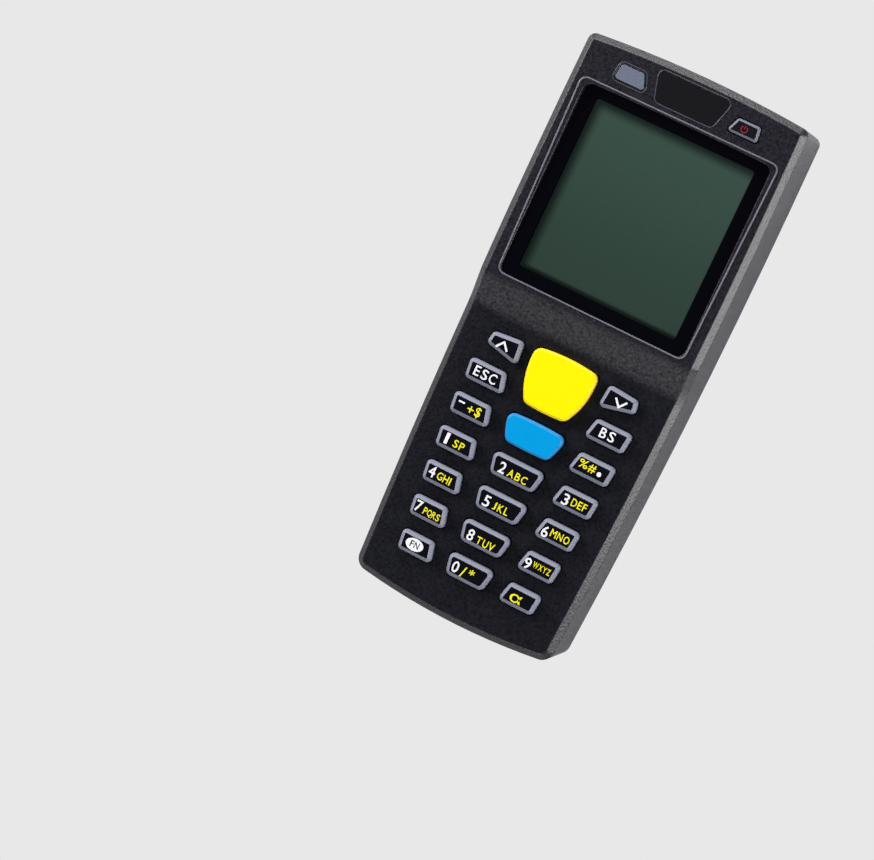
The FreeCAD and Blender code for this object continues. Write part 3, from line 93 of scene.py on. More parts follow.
class Ink(Enum):
    """Colours that the key legends are printed in."""

    WHITE = "legend_white"
    YELLOW = "legend_yellow"
    RED = "legend_red"
    BLACK = "legend_black"


class Graph:
    """A material's node tree, with short calls for adding nodes and joining them."""

    def __init__(self, name: str) -> None:
        """Start an empty material.

        Args:
            name: the material's name.
        """
        self.material = bpy.data.materials.new(name)
        self.material.use_nodes = True
        self.tree = self.material.node_tree
        self.tree.nodes.clear()
        self.output = self.tree.nodes.new("ShaderNodeOutputMaterial")

    def add(self, kind: str, **inputs: object) -> bpy.types.Node:
        """Add a node and fill its sockets.

        Args:
            kind: the node's type.
            inputs: socket names, with spaces as underscores, and a value or an output socket each.

        Returns:
            The new node.
        """
        node = self.tree.nodes.new(kind)
        for name, value in inputs.items():
            self.put(node, name.replace("_", " "), value)
        return node

    def put(self, node: bpy.types.Node, socket: str | int, value: object) -> None:
        """Give a socket a value or join an output to it.

        Args:
            node: the node that takes it.
            socket: the socket's name or number.
            value: a number, a colour or an output socket.
        """
        target = node.inputs[socket]
        if isinstance(value, bpy.types.NodeSocket):
            self.tree.links.new(value, target)
        elif isinstance(value, tuple) and len(value) == 3 and target.type == "RGBA":
            target.default_value = (*value, 1.0)
        else:
            target.default_value = value

    def math(self, operation: str, first: object, second: object = 0.0,
             third: object = 0.0) -> bpy.types.NodeSocket:
        """Add a math node.

        Args:
            operation: what it does.
            first: its first input.
            second: its second input.
            third: its third input.

        Returns:
            Its output.
        """
        node = self.tree.nodes.new("ShaderNodeMath")
        node.operation = operation
        for index, value in enumerate((first, second, third)):
            self.put(node, index, value)
        return node.outputs[0]

    def place(self) -> tuple[bpy.types.NodeSocket, list[bpy.types.NodeSocket]]:
        """Read the place on the piece in its own coordinates.

        Returns:
            The place as one socket, and its X, Y and Z.
        """
        coordinates = self.tree.nodes.new("ShaderNodeTexCoord")
        apart = self.add("ShaderNodeSeparateXYZ", Vector=coordinates.outputs["Object"])
        return coordinates.outputs["Object"], list(apart.outputs)

    def step(self, value: object, edge: float, width: float) -> bpy.types.NodeSocket:
        """Rise smoothly from 0 to 1 across an edge.

        Args:
            value: the running value.
            edge: where the rise is half done.
            width: how wide it is.

        Returns:
            The share from 0 to 1.
        """
        node = self.tree.nodes.new("ShaderNodeMapRange")
        node.interpolation_type = "SMOOTHSTEP"
        for name, item in (("Value", value), ("From Min", edge - width / 2), ("From Max", edge + width / 2)):
            self.put(node, name, item)
        return node.outputs["Result"]

    def mix(self, share: object, first: object, second: object) -> bpy.types.NodeSocket:
        """Blend two colours.

        Args:
            share: how much of the second.
            first: a colour or socket.
            second: a colour or socket.

        Returns:
            The blended colour.
        """
        node = self.tree.nodes.new("ShaderNodeMix")
        node.data_type = "RGBA"
        self.put(node, 0, share)
        self.put(node, 6, first)
        self.put(node, 7, second)
        return node.outputs[2]

    def soften(self, radius: float, height: object | None = None, strength: float = 0.0,
               depth: float = 0.0) -> bpy.types.NodeSocket:
        """Round the edges in the shading, and lay a relief over them.

        Args:
            radius: radius of the rounding in metres.
            height: relief from 0 to 1, or nothing.
            strength: how strong the relief is.
            depth: how deep it is in metres.

        Returns:
            The normal.
        """
        edge = self.add("ShaderNodeBevel", Radius=radius)
        edge.samples = 4
        if height is None:
            return edge.outputs[0]
        bump = self.add("ShaderNodeBump", Strength=strength, Distance=depth, Height=height,
                        Normal=edge.outputs[0])
        return bump.outputs[0]

    def surface(self, **inputs: object) -> bpy.types.Material:
        """Finish the material with one principled shader.

        Args:
            inputs: its sockets.

        Returns:
            The material.
        """
        shader = self.add("ShaderNodeBsdfPrincipled", **inputs)
        self.tree.links.new(shader.outputs[0], self.output.inputs["Surface"])
        return self.material


@dataclass(frozen=True)
class Finish:
    """A plain finish: one colour, with softened edges and a faint unevenness."""

    name: str
    colour: Colour
    rough: float = 0.45
    metal: float = 0.0
    edge: float = 0.12
    speckle: float = 0.06
    grain: float = 900.0

    def material(self) -> bpy.types.Material:
        """Build the finish.

        Returns:
            The material.
        """
        graph = Graph(self.name)
        place, _ = graph.place()
        noise = graph.add("ShaderNodeTexNoise", Vector=place, Scale=self.grain, Detail=3.0)
        darker = tuple(value * (1 - self.speckle * 2) for value in self.colour)
        lighter = tuple(min(1.0, value * (1 + self.speckle)) for value in self.colour)
        colour = graph.mix(noise.outputs["Fac"], darker, lighter)
        normal = graph.soften(self.edge * MM)
        return graph.surface(Base_Color=colour, Roughness=self.rough, Metallic=self.metal, Normal=normal)


@dataclass(frozen=True)
class GrainedCase(Finish):
    """Moulded charcoal plastic with a fine leather grain, darker round the keys, with painted light on the
    sloping chin between display and keys.
    """

    keypad: Colour = (0.01, 0.01, 0.012)
    chin_painted_light: Colour = (0.04, 0.04, 0.045)
    zoned: bool = True
    head_edge: tuple[float, float] = (5.5, 5.0)
    chin_top: tuple[float, float] = (6.8, 2.0)
    chin_foot: tuple[float, float] = (0.6, 2.4)
    cell_scale: float = 2300.0
    fine_scale: float = 1700.0
    patch_scale: float = 260.0
    fine_relief: float = 0.5
    contrast: tuple[float, float] = (5.2, -1.55)
    darkest: float = 0.12
    relief: float = 0.6
    depth: float = 0.07

    def material(self) -> bpy.types.Material:
        """Build the grain from a cell pattern and two noises, and the zones from the place along it.

        Each zone edge is the place of its middle and the width that it blends over.

        Returns:
            The material.
        """
        graph = Graph(self.name)
        place, (_, along, _) = graph.place()
        cells = graph.add("ShaderNodeTexVoronoi", Vector=place, Scale=self.cell_scale)
        cells.feature = "SMOOTH_F1"
        fine = graph.add("ShaderNodeTexNoise", Vector=place, Scale=self.fine_scale, Detail=3.0,
                         Roughness=0.7)
        patch = graph.add("ShaderNodeTexNoise", Vector=place, Scale=self.patch_scale, Detail=4.0)
        finer = graph.math("MULTIPLY", fine.outputs["Fac"], self.fine_relief)
        relief = graph.math("ADD", cells.outputs["Distance"], finer)
        colour: object = self.colour
        # Painted light: the chin slope between display and keys gets a lighter colour that stands in for the
        # light falling on the slope; the keypad zone is darker.
        if self.zoned:
            head, above, below = (graph.step(along, middle * MM, blend * MM)
                                  for middle, blend in (self.head_edge, self.chin_top, self.chin_foot))
            painted_light_slope = graph.math("MULTIPLY", below, graph.math("SUBTRACT", 1.0, above))
            colour = graph.mix(painted_light_slope, graph.mix(head, self.keypad, self.colour), self.chin_painted_light)
        worn = graph.math("MULTIPLY_ADD", patch.outputs["Fac"], self.speckle * 2, 1 - self.speckle)
        spread = graph.math("MULTIPLY_ADD", fine.outputs["Fac"], *self.contrast)
        dots = graph.math("MAXIMUM", spread, self.darkest)
        scaled = graph.tree.nodes.new("ShaderNodeVectorMath")
        scaled.operation = "SCALE"
        graph.put(scaled, 0, colour)
        graph.put(scaled, "Scale", graph.math("MULTIPLY", worn, dots))
        normal = graph.soften(self.edge * MM, relief, self.relief, self.depth * MM)
        return graph.surface(Base_Color=scaled.outputs[0], Roughness=self.rough, Normal=normal)


@dataclass(frozen=True)
class PrintedLens(Finish):
    """Clear lens whose border is printed black, with a clear middle."""

    middle: tuple[float, float] = (0.0, 30.0)
    clear: tuple[float, float] = (18.0, 18.75)
    corner: float = 0.6
    blend: float = 0.06
    tint: Colour = (0.93, 0.95, 0.94)
    bend: float = 1.45

    def material(self) -> bpy.types.Material:
        """Print the border outside a rounded rectangle.

        A point is outside where the length of its overshoot past the rectangle less its corner
        radius, along both axes, is more than that radius.

        Returns:
            The material.
        """
        graph = Graph(self.name)
        _, (across, along, _) = graph.place()
        over = []
        for value, centre, half in zip((across, along), self.middle, self.clear):
            away = graph.math("ABSOLUTE", graph.math("SUBTRACT", value, centre * MM))
            over.append(graph.math("MAXIMUM", graph.math("SUBTRACT", away, (half - self.corner) * MM), 0.0))
        squares = [graph.math("MULTIPLY", item, item) for item in over]
        reach = graph.math("SQRT", graph.math("ADD", *squares))
        border = graph.step(reach, self.corner * MM, self.blend * MM)
        ink = graph.add("ShaderNodeBsdfPrincipled", Base_Color=self.colour, Roughness=self.rough,
                        Normal=graph.soften(self.edge * MM))
        through = graph.add("ShaderNodeBsdfTransparent", Color=self.tint)
        shine = graph.add("ShaderNodeBsdfGlossy", Color=(1.0, 1.0, 1.0), Roughness=self.rough)
        glance = graph.add("ShaderNodeFresnel", IOR=self.bend)
        clear = graph.tree.nodes.new("ShaderNodeMixShader")
        graph.put(clear, 0, glance.outputs[0])
        graph.put(clear, 1, through.outputs[0])
        graph.put(clear, 2, shine.outputs[0])
        both = graph.tree.nodes.new("ShaderNodeMixShader")
        graph.put(both, 0, border)
        graph.put(both, 1, clear.outputs[0])
        graph.put(both, 2, ink.outputs[0])
        graph.tree.links.new(both.outputs[0], graph.output.inputs["Surface"])
        return graph.material


@dataclass(frozen=True)
class LiquidCrystal(Finish):
    """Switched-off liquid crystal panel, a little darker towards the foot; it glows in its own colour as
    painted light, and a painted shadow dims its borders.
    """

    foot: Colour = (0.03, 0.06, 0.05)
    span: tuple[float, float] = (9.6, 50.6)
    half: float = 20.0
    start: float = 1.9
    shadow: float = 2.6
    far_share: float = 0.35
    dimmest: float = 0.18
    glow: float = 0.9
    mottle_scale: float = 2600.0
    mottle: float = 0.16

    def material(self) -> bpy.types.Material:
        """Shade the panel along its length, with a faint mottle and a soft shadow along its borders.

        The left and head borders throw the whole shadow, and the right and foot borders a share of it.

        Returns:
            The material.
        """
        graph = Graph(self.name)
        place, (across, along, _) = graph.place()
        middle, width = sum(self.span) / 2, self.span[1] - self.span[0]
        share = graph.step(along, middle * MM, width * MM)
        noise = graph.add("ShaderNodeTexNoise", Vector=place, Scale=self.mottle_scale, Detail=2.0)
        base = graph.mix(share, self.foot, self.colour)
        light = graph.math("MULTIPLY_ADD", noise.outputs["Fac"], self.mottle, 1 - self.mottle / 2)
        scaled = graph.tree.nodes.new("ShaderNodeVectorMath")
        scaled.operation = "SCALE"
        graph.put(scaled, 0, base)
        graph.put(scaled, "Scale", light)
        # Painted shadow: the glow is dimmed near the panel's edges where the borders of the opening above
        # would shade it.
        shade = []
        near, far = self.shadow, self.far_share * self.shadow
        for value, edge, way, reach in ((across, -self.half, 1.0, near), (along, self.span[1], -1.0, near),
                                        (across, self.half, -1.0, far), (along, self.span[0], 1.0, far)):
            depth = graph.math("MULTIPLY", graph.math("SUBTRACT", value, edge * MM), way)
            shade.append(graph.step(depth, (self.start + reach / 2) * MM, reach * MM))
        lit = graph.math("MULTIPLY", graph.math("MULTIPLY", shade[0], shade[1]),
                         graph.math("MULTIPLY", shade[2], shade[3]))
        lit = graph.math("MULTIPLY_ADD", lit, 1 - self.dimmest, self.dimmest)
        # Painted light: the panel emits its own colour, though it is no lamp, dimmed by the painted shadow.
        strength = graph.math("MULTIPLY", lit, self.glow)
        return graph.surface(Base_Color=scaled.outputs[0], Roughness=self.rough,
                             Emission_Color=scaled.outputs[0], Emission_Strength=strength)


@dataclass(frozen=True)
class RimmedKey(Finish):
    """Key moulded in smoky translucent plastic with an opaque top."""

    rim: Colour = (0.22, 0.24, 0.3)
    top: float = 20.9
    matt: float = 0.3
    shine: float = 0.35
    crown_depth: float = 0.03
    shade_depth: float = 0.9
    shade_blend: float = 1.4
    shade: float = 0.5
    wear_scale: float = 700.0
    uneven: float = 0.08
    coat: float = 0.25
    coat_rough: float = 0.12

    def material(self) -> bpy.types.Material:
        """Paint the flat top, and leave all below it in the rim's colour, darkened lower down by painted
        shade.

        Returns:
            The material.
        """
        graph = Graph(self.name)
        place, (_, _, up) = graph.place()
        crown = graph.step(up, (self.top - self.crown_depth) * MM, self.crown_depth * MM)
        noise = graph.add("ShaderNodeTexNoise", Vector=place, Scale=self.wear_scale, Detail=3.0)
        # Painted shade: the rim darkens towards the foot of the key, where it stands in its hole in the case.
        deep = graph.step(up, (self.top - self.shade_depth) * MM, self.shade_blend * MM)
        rim = graph.mix(deep, tuple(value * self.shade for value in self.rim), self.rim)
        colour = graph.mix(crown, rim, self.colour)
        gloss = graph.math("MULTIPLY_ADD", noise.outputs["Fac"], self.uneven, self.rough - self.uneven / 2)
        matt = graph.math("MULTIPLY", graph.math("SUBTRACT", 1.0, crown), self.matt)
        rough = graph.math("ADD", gloss, matt)
        normal = graph.soften(self.edge * MM)
        return graph.surface(Base_Color=colour, Roughness=rough, Normal=normal, Specular_IOR_Level=self.shine,
                             Coat_Weight=graph.math("MULTIPLY", crown, self.coat),
                             Coat_Roughness=self.coat_rough)


@dataclass(frozen=True)
class Circuit(Finish):
    """Green circuit board with faint tracks."""

    track: Colour = (0.05, 0.2, 0.09)
    pitch: float = 300.0

    def material(self) -> bpy.types.Material:
        """Lay two crossing sets of fine lines over the green.

        Returns:
            The material.
        """
        graph = Graph(self.name)
        place, _ = graph.place()
        bricks = graph.add("ShaderNodeTexBrick", Vector=place, Scale=self.pitch, Color1=self.colour,
                           Color2=self.colour, Mortar=self.track)
        return graph.surface(Base_Color=bricks.outputs["Color"], Roughness=self.rough)


BLACK = (0.004, 0.004, 0.006)

# The front shell's chin colour is painted light on the slope between display and keys.
CASE_FRONT = GrainedCase("case_front", (0.0112, 0.0106, 0.0155), rough=0.36, edge=0.3,
                         keypad=(0.0052, 0.0055, 0.0088), chin_painted_light=(0.028, 0.027, 0.032))
# The rear shell, door and latch wear a lighter grey than the front shell though they are the same plastic:
# the difference is painted light for the sides, which catch the lamps.
CASE_REAR = GrainedCase("case_rear", (0.021, 0.020, 0.025), rough=0.4, edge=0.3, zoned=False)
LENS = PrintedLens("window", (0.0012, 0.0012, 0.003), rough=0.05)
PANEL = LiquidCrystal("panel", tone(66, 88, 79), rough=0.5, foot=tone(54, 73, 64))
KEY_BLACK = RimmedKey("key_black", (0.003, 0.003, 0.006), rough=0.24, rim=tone(122, 126, 142))
KEY_YELLOW = RimmedKey("key_yellow", tone(255, 232, 0), rough=0.3, rim=tone(238, 205, 0))
KEY_BLUE = RimmedKey("key_blue", tone(0, 150, 215), rough=0.28, rim=tone(20, 125, 190))
POWER = RimmedKey("key_power", (0.006, 0.006, 0.009), rough=0.3, rim=tone(104, 108, 122), top=23.28)
STATUS = Finish("status_lens", tone(106, 112, 130), rough=0.25)
# Painted highlights: the light grey of these beads stands in for light catching the edges of the display
# opening, the status lens recess and the name plate.
BEZEL_HIGHLIGHT = Finish("lip", tone(104, 104, 116), rough=0.35, edge=0.02)
FAINT_HIGHLIGHT = Finish("faint_lip", tone(66, 66, 76), rough=0.4, edge=0.02)
SEAM = Finish("seam", (0.002, 0.002, 0.003), rough=0.4, edge=0.02)
PLATE = Finish("plate", (0.004, 0.004, 0.006), rough=0.35, edge=0.1)
STEEL = Finish("steel", (0.55, 0.55, 0.56), rough=0.32, metal=1.0)
PRESSED = Finish("frame_steel", (0.5, 0.5, 0.5), rough=0.4, metal=1.0)
GUIDE = Finish("guide", (0.75, 0.78, 0.75), rough=0.3)
DARK = Finish("dark_plastic", BLACK, rough=0.5)
MAT = Finish("mat", (0.05, 0.05, 0.055), rough=0.7)
BOARD = Circuit("board", (0.012, 0.09, 0.035), rough=0.4)
ENGINE = Finish("engine", (0.08, 0.08, 0.085), rough=0.45, metal=0.6)
OPTIC = Finish("optic", (0.02, 0.012, 0.03), rough=0.06)
PANE = Finish("scan_pane", (0.035, 0.002, 0.003), rough=0.06)
SLEEVE = Finish("cell", (0.03, 0.05, 0.09), rough=0.3)
BRASS = Finish("sounder", (0.5, 0.34, 0.12), rough=0.35, metal=1.0)
LIGHT = Finish("light", (0.6, 0.65, 0.6), rough=0.2)
INKS = {
    Ink.WHITE: Finish("legend_white", (0.86, 0.86, 0.88), rough=0.5, edge=0.01),
    Ink.YELLOW: Finish("legend_yellow", tone(240, 228, 30), rough=0.5, edge=0.01),
    Ink.RED: Finish("legend_red", tone(140, 20, 34), rough=0.5, edge=0.01),
    Ink.BLACK: Finish("legend_black", (0.02, 0.02, 0.03), rough=0.5, edge=0.01),
}


def dress(item: bpy.types.Object, material: bpy.types.Material) -> None:
    """Give a piece one material in its only slot.

    Args:
        item: the piece.
        material: what it wears.
    """
    if not item.data.materials:
        item.data.materials.append(material)
    for index in range(len(item.data.materials)):
        item.data.materials[index] = material


def new_piece(name: str, points: np.ndarray, faces: Sequence[Sequence[int]], body: str) -> bpy.types.Object:
    """Make a mesh piece at the origin that rides on a body.

    Args:
        name: the piece's name.
        points: its points in metres.
        faces: its faces as point numbers, seen anticlockwise from outside.
        body: the body it rides on.

    Returns:
        The piece.
    """
    mesh = bpy.data.meshes.new(name)
    mesh.from_pydata([tuple(float(v) for v in point) for point in points], [], [list(face) for face in faces])
    mesh.update()
    item = bpy.data.objects.new(name, mesh)
    bpy.context.scene.collection.objects.link(item)
    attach(item, body)
    LOG.info("%s: %d faces on %s", name, len(mesh.polygons), body)
    return item


@dataclass
class Stroke:
    """A flat printed line of one width along a path of points, in millimetres."""

    path: list[tuple[float, float]]
    width: float
    sharpest: float = 0.4

    def mesh(self) -> tuple[np.ndarray, list[list[int]]]:
        """Offset each point by half the width to both sides, along the mean normal of its two segments.

        Returns:
            Flat points and the faces between neighbours.
        """
        path = np.array(self.path, float)
        count = len(path)
        ahead = np.roll(path, -1, axis=0) - path
        behind = path - np.roll(path, 1, axis=0)
        ahead[-1] = behind[-1]
        behind[0] = ahead[0]
        ahead /= np.linalg.norm(ahead, axis=1)[:, None]
        behind /= np.linalg.norm(behind, axis=1)[:, None]
        along = ahead + behind
        along /= np.linalg.norm(along, axis=1)[:, None]
        normal = np.stack([-along[:, 1], along[:, 0]], 1)
        reach = self.width / 2 / np.maximum(self.sharpest, np.abs((along * ahead).sum(1)))
        points = np.concatenate([path + normal * reach[:, None], path - normal * reach[:, None]])
        index = np.arange(count - 1)
        faces = np.stack([index, index + count, index + 1 + count, index + 1], axis=-1)
        return points, faces.tolist()


@dataclass
class Disc:
    """A filled oval, in millimetres."""

    middle: tuple[float, float]
    radii: tuple[float, float]
    steps: int = 40

    def mesh(self) -> tuple[np.ndarray, list[list[int]]]:
        """Take points at equal angles round the oval.

        Returns:
            Flat points and one face.
        """
        angles = np.linspace(0, 2 * np.pi, self.steps, endpoint=False)
        circle = np.stack([np.cos(angles), np.sin(angles)], 1)
        points = circle * np.array(self.radii) + np.array(self.middle)
        return points, [list(range(self.steps))]


@dataclass
class Lettering:
    """A word fitted into a box on a key's top, in millimetres."""

    text: str
    middle: tuple[float, float]
    size: tuple[float, float]
    weight: float = 0.012
    slant: float = 0.0

    def mesh(self) -> tuple[np.ndarray, list[list[int]]]:
        """Set the word as outlines, and stretch its bounds to the box.

        Returns:
            Flat points and faces.
        """
        curve = bpy.data.curves.new("word", "FONT")
        curve.body = self.text
        curve.offset = self.weight
        curve.resolution_u = 4
        holder = bpy.data.objects.new("word", curve)
        bpy.context.scene.collection.objects.link(holder)
        bpy.context.view_layer.update()
        flat = bpy.data.meshes.new_from_object(holder.evaluated_get(bpy.context.evaluated_depsgraph_get()))
        points = np.array([vertex.co[:2] for vertex in flat.vertices], float)
        faces = [list(polygon.vertices) for polygon in flat.polygons]
        bpy.data.objects.remove(holder)
        bpy.data.curves.remove(curve)
        bpy.data.meshes.remove(flat)
        low, high = points.min(0), points.max(0)
        points = (points - (low + high) / 2) / (high - low) * np.array(self.size)
        points[:, 0] += points[:, 1] * self.slant
        return points + np.array(self.middle), faces


@dataclass
class Legend:
    """All that is printed on one key, as flat marks just above its top."""

    node: str
    marks: list[tuple[Stroke | Disc | Lettering, Ink]]
    lift: float = 0.012
    over: float = 0.01

    def build(self, body: str) -> list[bpy.types.Object]:
        """Make one mesh for each ink on the key.

        Args:
            body: the body the key rides on.

        Returns:
            The meshes.
        """
        _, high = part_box(self.node)
        made = []
        for ink in Ink:
            points, faces, start = [], [], 0
            for mark, used in self.marks:
                if used is not ink:
                    continue
                flat, around = mark.mesh()
                raised = np.column_stack([flat * MM, np.full(len(flat), high.z + self.lift * MM)])
                points.append(raised)
                faces += [self.upward([index + start for index in face], flat, start) for face in around]
                start += len(flat)
            if points:
                if ink is Ink.BLACK:
                    points = [part + np.array([0.0, 0.0, self.over * MM]) for part in points]
                item = new_piece(f"{self.node}_{ink.value}", np.concatenate(points), faces, body)
                item.data.materials.append(MATERIALS.of(INKS[ink]))
                made.append(item)
        return made

    @staticmethod
    def upward(face: list[int], flat: np.ndarray, start: int) -> list[int]:
        """Turn a face over where it looks down.

        Args:
            face: its point numbers.
            flat: the mark's own points.
            start: the number of the mark's first point.

        Returns:
            The face, seen anticlockwise from above.
        """
        ring = flat[[index - start for index in face]]
        following = np.roll(ring, -1, axis=0)
        area = float((ring[:, 0] * following[:, 1] - ring[:, 1] * following[:, 0]).sum())
        return face if area > 0 else face[::-1]


@dataclass
class Bead:
    """A thin raised line round a closed path on the sloping head face, in millimetres."""

    path: np.ndarray
    radius: float = 0.13
    sides: int = 8
    foot: float = 21.2
    rise: float = 0.032727
    start: float = 7.6

    @classmethod
    def round_node(cls, item: bpy.types.Object, margin: float, radius: float = 0.13) -> "Bead":
        """Lay the path round a piece: its plan hull, each point moved out from the hull's middle line.

        The hull is found by sweeping the points in order of X and dropping every point that makes a
        right turn. Its points are then moved along the mean of the outward normals of their two sides.

        Args:
            item: the piece.
            margin: how far outside the piece the line runs.
            radius: the line's half width.

        Returns:
            The bead.
        """
        flat = np.array([tuple(vertex.co)[:2] for vertex in item.data.vertices]) / MM
        flat = np.unique(flat.round(3), axis=0)
        halves = []
        for order in (flat, flat[::-1]):
            ring: list[np.ndarray] = []
            for point in order:
                while len(ring) > 1 and cls.turn(ring[-2], ring[-1], point) <= 0:
                    ring.pop()
                ring.append(point)
            halves += ring[:-1]
        hull = np.array(halves)
        kept = np.linalg.norm(hull - np.roll(hull, 1, axis=0), axis=1) > SHORTEST_SIDE
        return cls(cls.widened(hull[kept], margin), radius)

    @staticmethod
    def rounded(corners: Sequence[tuple[float, float]], radius: float, steps: int = 7) -> np.ndarray:
        """Round the corners of a ring with quadratic curves that start and end the radius from each corner.

        Args:
            corners: the corners, anticlockwise.
            radius: how far from each corner its curve starts.
            steps: points on each curve.

        Returns:
            The ring.
        """
        ring, points = np.array(corners), []
        for index, corner in enumerate(ring):
            before, after = ring[index - 1] - corner, ring[(index + 1) % len(ring)] - corner
            first = corner + before * radius / np.linalg.norm(before)
            last = corner + after * radius / np.linalg.norm(after)
            for share in np.linspace(0.0, 1.0, steps):
                points.append((1 - share) ** 2 * first + 2 * share * (1 - share) * corner + share ** 2 * last)
        return np.array(points)

    @staticmethod
    def turn(first: np.ndarray, second: np.ndarray, third: np.ndarray) -> float:
        """Tell which way a path of three points turns.

        Args:
            first: the first point.
            second: the second point.
            third: the third point.

        Returns:
            Twice their triangle's area, above 0 for a left turn.
        """
        ahead, aside = second - first, third - first
        return float(ahead[0] * aside[1] - ahead[1] * aside[0])

    @staticmethod
    def widened(ring: np.ndarray, margin: float) -> np.ndarray:
        """Move each point of an anticlockwise ring outwards, so that its sides move by the margin.

        Args:
            ring: the points.
            margin: how far out.

        Returns:
            The moved points.
        """
        ahead = np.roll(ring, -1, axis=0) - ring
        normal = np.column_stack([ahead[:, 1], -ahead[:, 0]]) / np.linalg.norm(ahead, axis=1)[:, None]
        mean = normal + np.roll(normal, 1, axis=0)
        mean /= np.linalg.norm(mean, axis=1)[:, None]
        stretch = np.maximum((mean * normal).sum(1), SHARPEST_TURN)
        return ring + mean * (margin / stretch)[:, None]

    def build(self, name: str, finish: Finish, body: str = "housing") -> bpy.types.Object:
        """Sweep a circle round the path, with its middle on the head face.

        A point of the tube is the path's point, moved out by the radius times the cosine, and up by
        the radius times the sine, of an angle that runs round the tube.

        Args:
            name: the piece's name.
            finish: what it wears.
            body: the body it rides on.

        Returns:
            The piece.
        """
        count, layers = len(self.path), []
        for angle in np.linspace(0, 2 * np.pi, self.sides, endpoint=False):
            flat = self.widened(self.path, self.radius * float(np.cos(angle)))
            face = self.foot + self.rise * (self.path[:, 1] - self.start)
            layers.append(np.column_stack([flat, face + self.radius * float(np.sin(angle))]) * MM)
        layer, step = np.indices((self.sides, count))
        above, after = (layer + 1) % self.sides, (step + 1) % count
        faces = np.stack([layer * count + step, layer * count + after, above * count + after,
                          above * count + step], axis=-1)
        item = new_piece(name, np.concatenate(layers), faces.reshape(-1, 4).tolist(), body)
        item.data.materials.append(MATERIALS.of(finish))
        return item


class MaterialShelf:
    """Builds each finish once and hands it out again."""

    def __init__(self) -> None:
        """Start with an empty shelf."""
        self.made: dict[str, bpy.types.Material] = {}

    def of(self, finish: Finish) -> bpy.types.Material:
        """Find or build a finish.

        Args:
            finish: the finish.

        Returns:
            Its material.
        """
        if finish.name not in self.made:
            self.made[finish.name] = finish.material()
        return self.made[finish.name]


MATERIALS = MaterialShelf()


@dataclass
class Assembly:
    """A group of CAD nodes and the finish that each of them wears."""

    frame: dict
    wear: dict[str, Finish] = field(default_factory=dict)

    def build(self) -> None:
        """Dress the group's nodes."""
        for node, finish in self.wear.items():
            dress(self.frame["nodes"][node], MATERIALS.of(finish))
            LOG.info("%s wears %s", node, finish.name)


@dataclass
class Housing(Assembly):
    """Both shells, their screws and the name plate."""

    wear: dict[str, Finish] = field(default_factory=lambda: {
        "front_case": CASE_FRONT, "rear_case": CASE_REAR, "case_screws": STEEL, "name_plate": PLATE,
        "strap_pin": STEEL, "data_jack": DARK})


@dataclass
class Display(Assembly):
    """Lens, panel, light guide and frame."""

    wear: dict[str, Finish] = field(default_factory=lambda: {
        "display_window": LENS, "lcd_panel": PANEL, "light_guide": GUIDE, "lcd_frame": PRESSED})


@dataclass
class HeadBand(Assembly):
    """Power key with its mark, status lens, and thin lines round the lens, the plate and the display opening.
    """

    wear: dict[str, Finish] = field(default_factory=lambda: {
        "power_key": POWER, "power_switch": DARK, "status_lens": STATUS, "status_light": LIGHT})
    # The grey outlines are painted highlights on the edges they follow.
    outlines: tuple[tuple[str, float, Finish], ...] = (
        ("status_lens", 0.24, SEAM), ("status_lens", 0.55, FAINT_HIGHLIGHT), ("name_plate", 0.16, FAINT_HIGHLIGHT))
    line_radius: float = 0.1
    lip_radius: float = 0.17
    opening: tuple[tuple[float, float], ...] = ((-21.4, 8.3), (21.4, 8.3), (22.3, 51.7), (-22.3, 51.7))
    opening_corner: float = 1.8
    ring_radius: float = 0.66
    ring_width: float = 0.2
    ring_drop: float = 0.1
    ring_steps: int = 28
    gap_angle: float = 0.62
    bar_reach: float = 1.15
    bar_foot: float = 0.1

    def build(self) -> None:
        """Dress the nodes, lay the lines and print the power mark."""
        super().build()
        self.lines()
        self.power_mark()

    def lines(self) -> None:
        """Lay a line round each piece at its own margin, and one round the display opening. The grey lines
        are raised beads whose light tone is a painted highlight on the edges they follow.
        """
        for node, margin, finish in self.outlines:
            line = Bead.round_node(self.frame["nodes"][node], margin, self.line_radius)
            line.build(f"{node}_{finish.name}", finish)
        Bead(Bead.rounded(self.opening, self.opening_corner), self.lip_radius).build("bezel_lip", BEZEL_HIGHLIGHT)

    def power_mark(self) -> None:
        """Print an open ring with a bar in its gap."""
        low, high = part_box("power_key")
        x, y = (low.x + high.x) / 2 / MM, (low.y + high.y) / 2 / MM - self.ring_drop
        angles = np.linspace(np.pi / 2 + self.gap_angle, np.pi * 2.5 - self.gap_angle, self.ring_steps)
        ring = [(x + self.ring_radius * float(np.cos(angle)), y + self.ring_radius * float(np.sin(angle)))
                for angle in angles]
        bar = [(x, y + self.ring_radius * self.bar_reach), (x, y + self.bar_foot)]
        marks = [(Stroke(ring, self.ring_width), Ink.RED), (Stroke(bar, self.ring_width), Ink.RED)]
        Legend("power_key", marks).build("power_press")


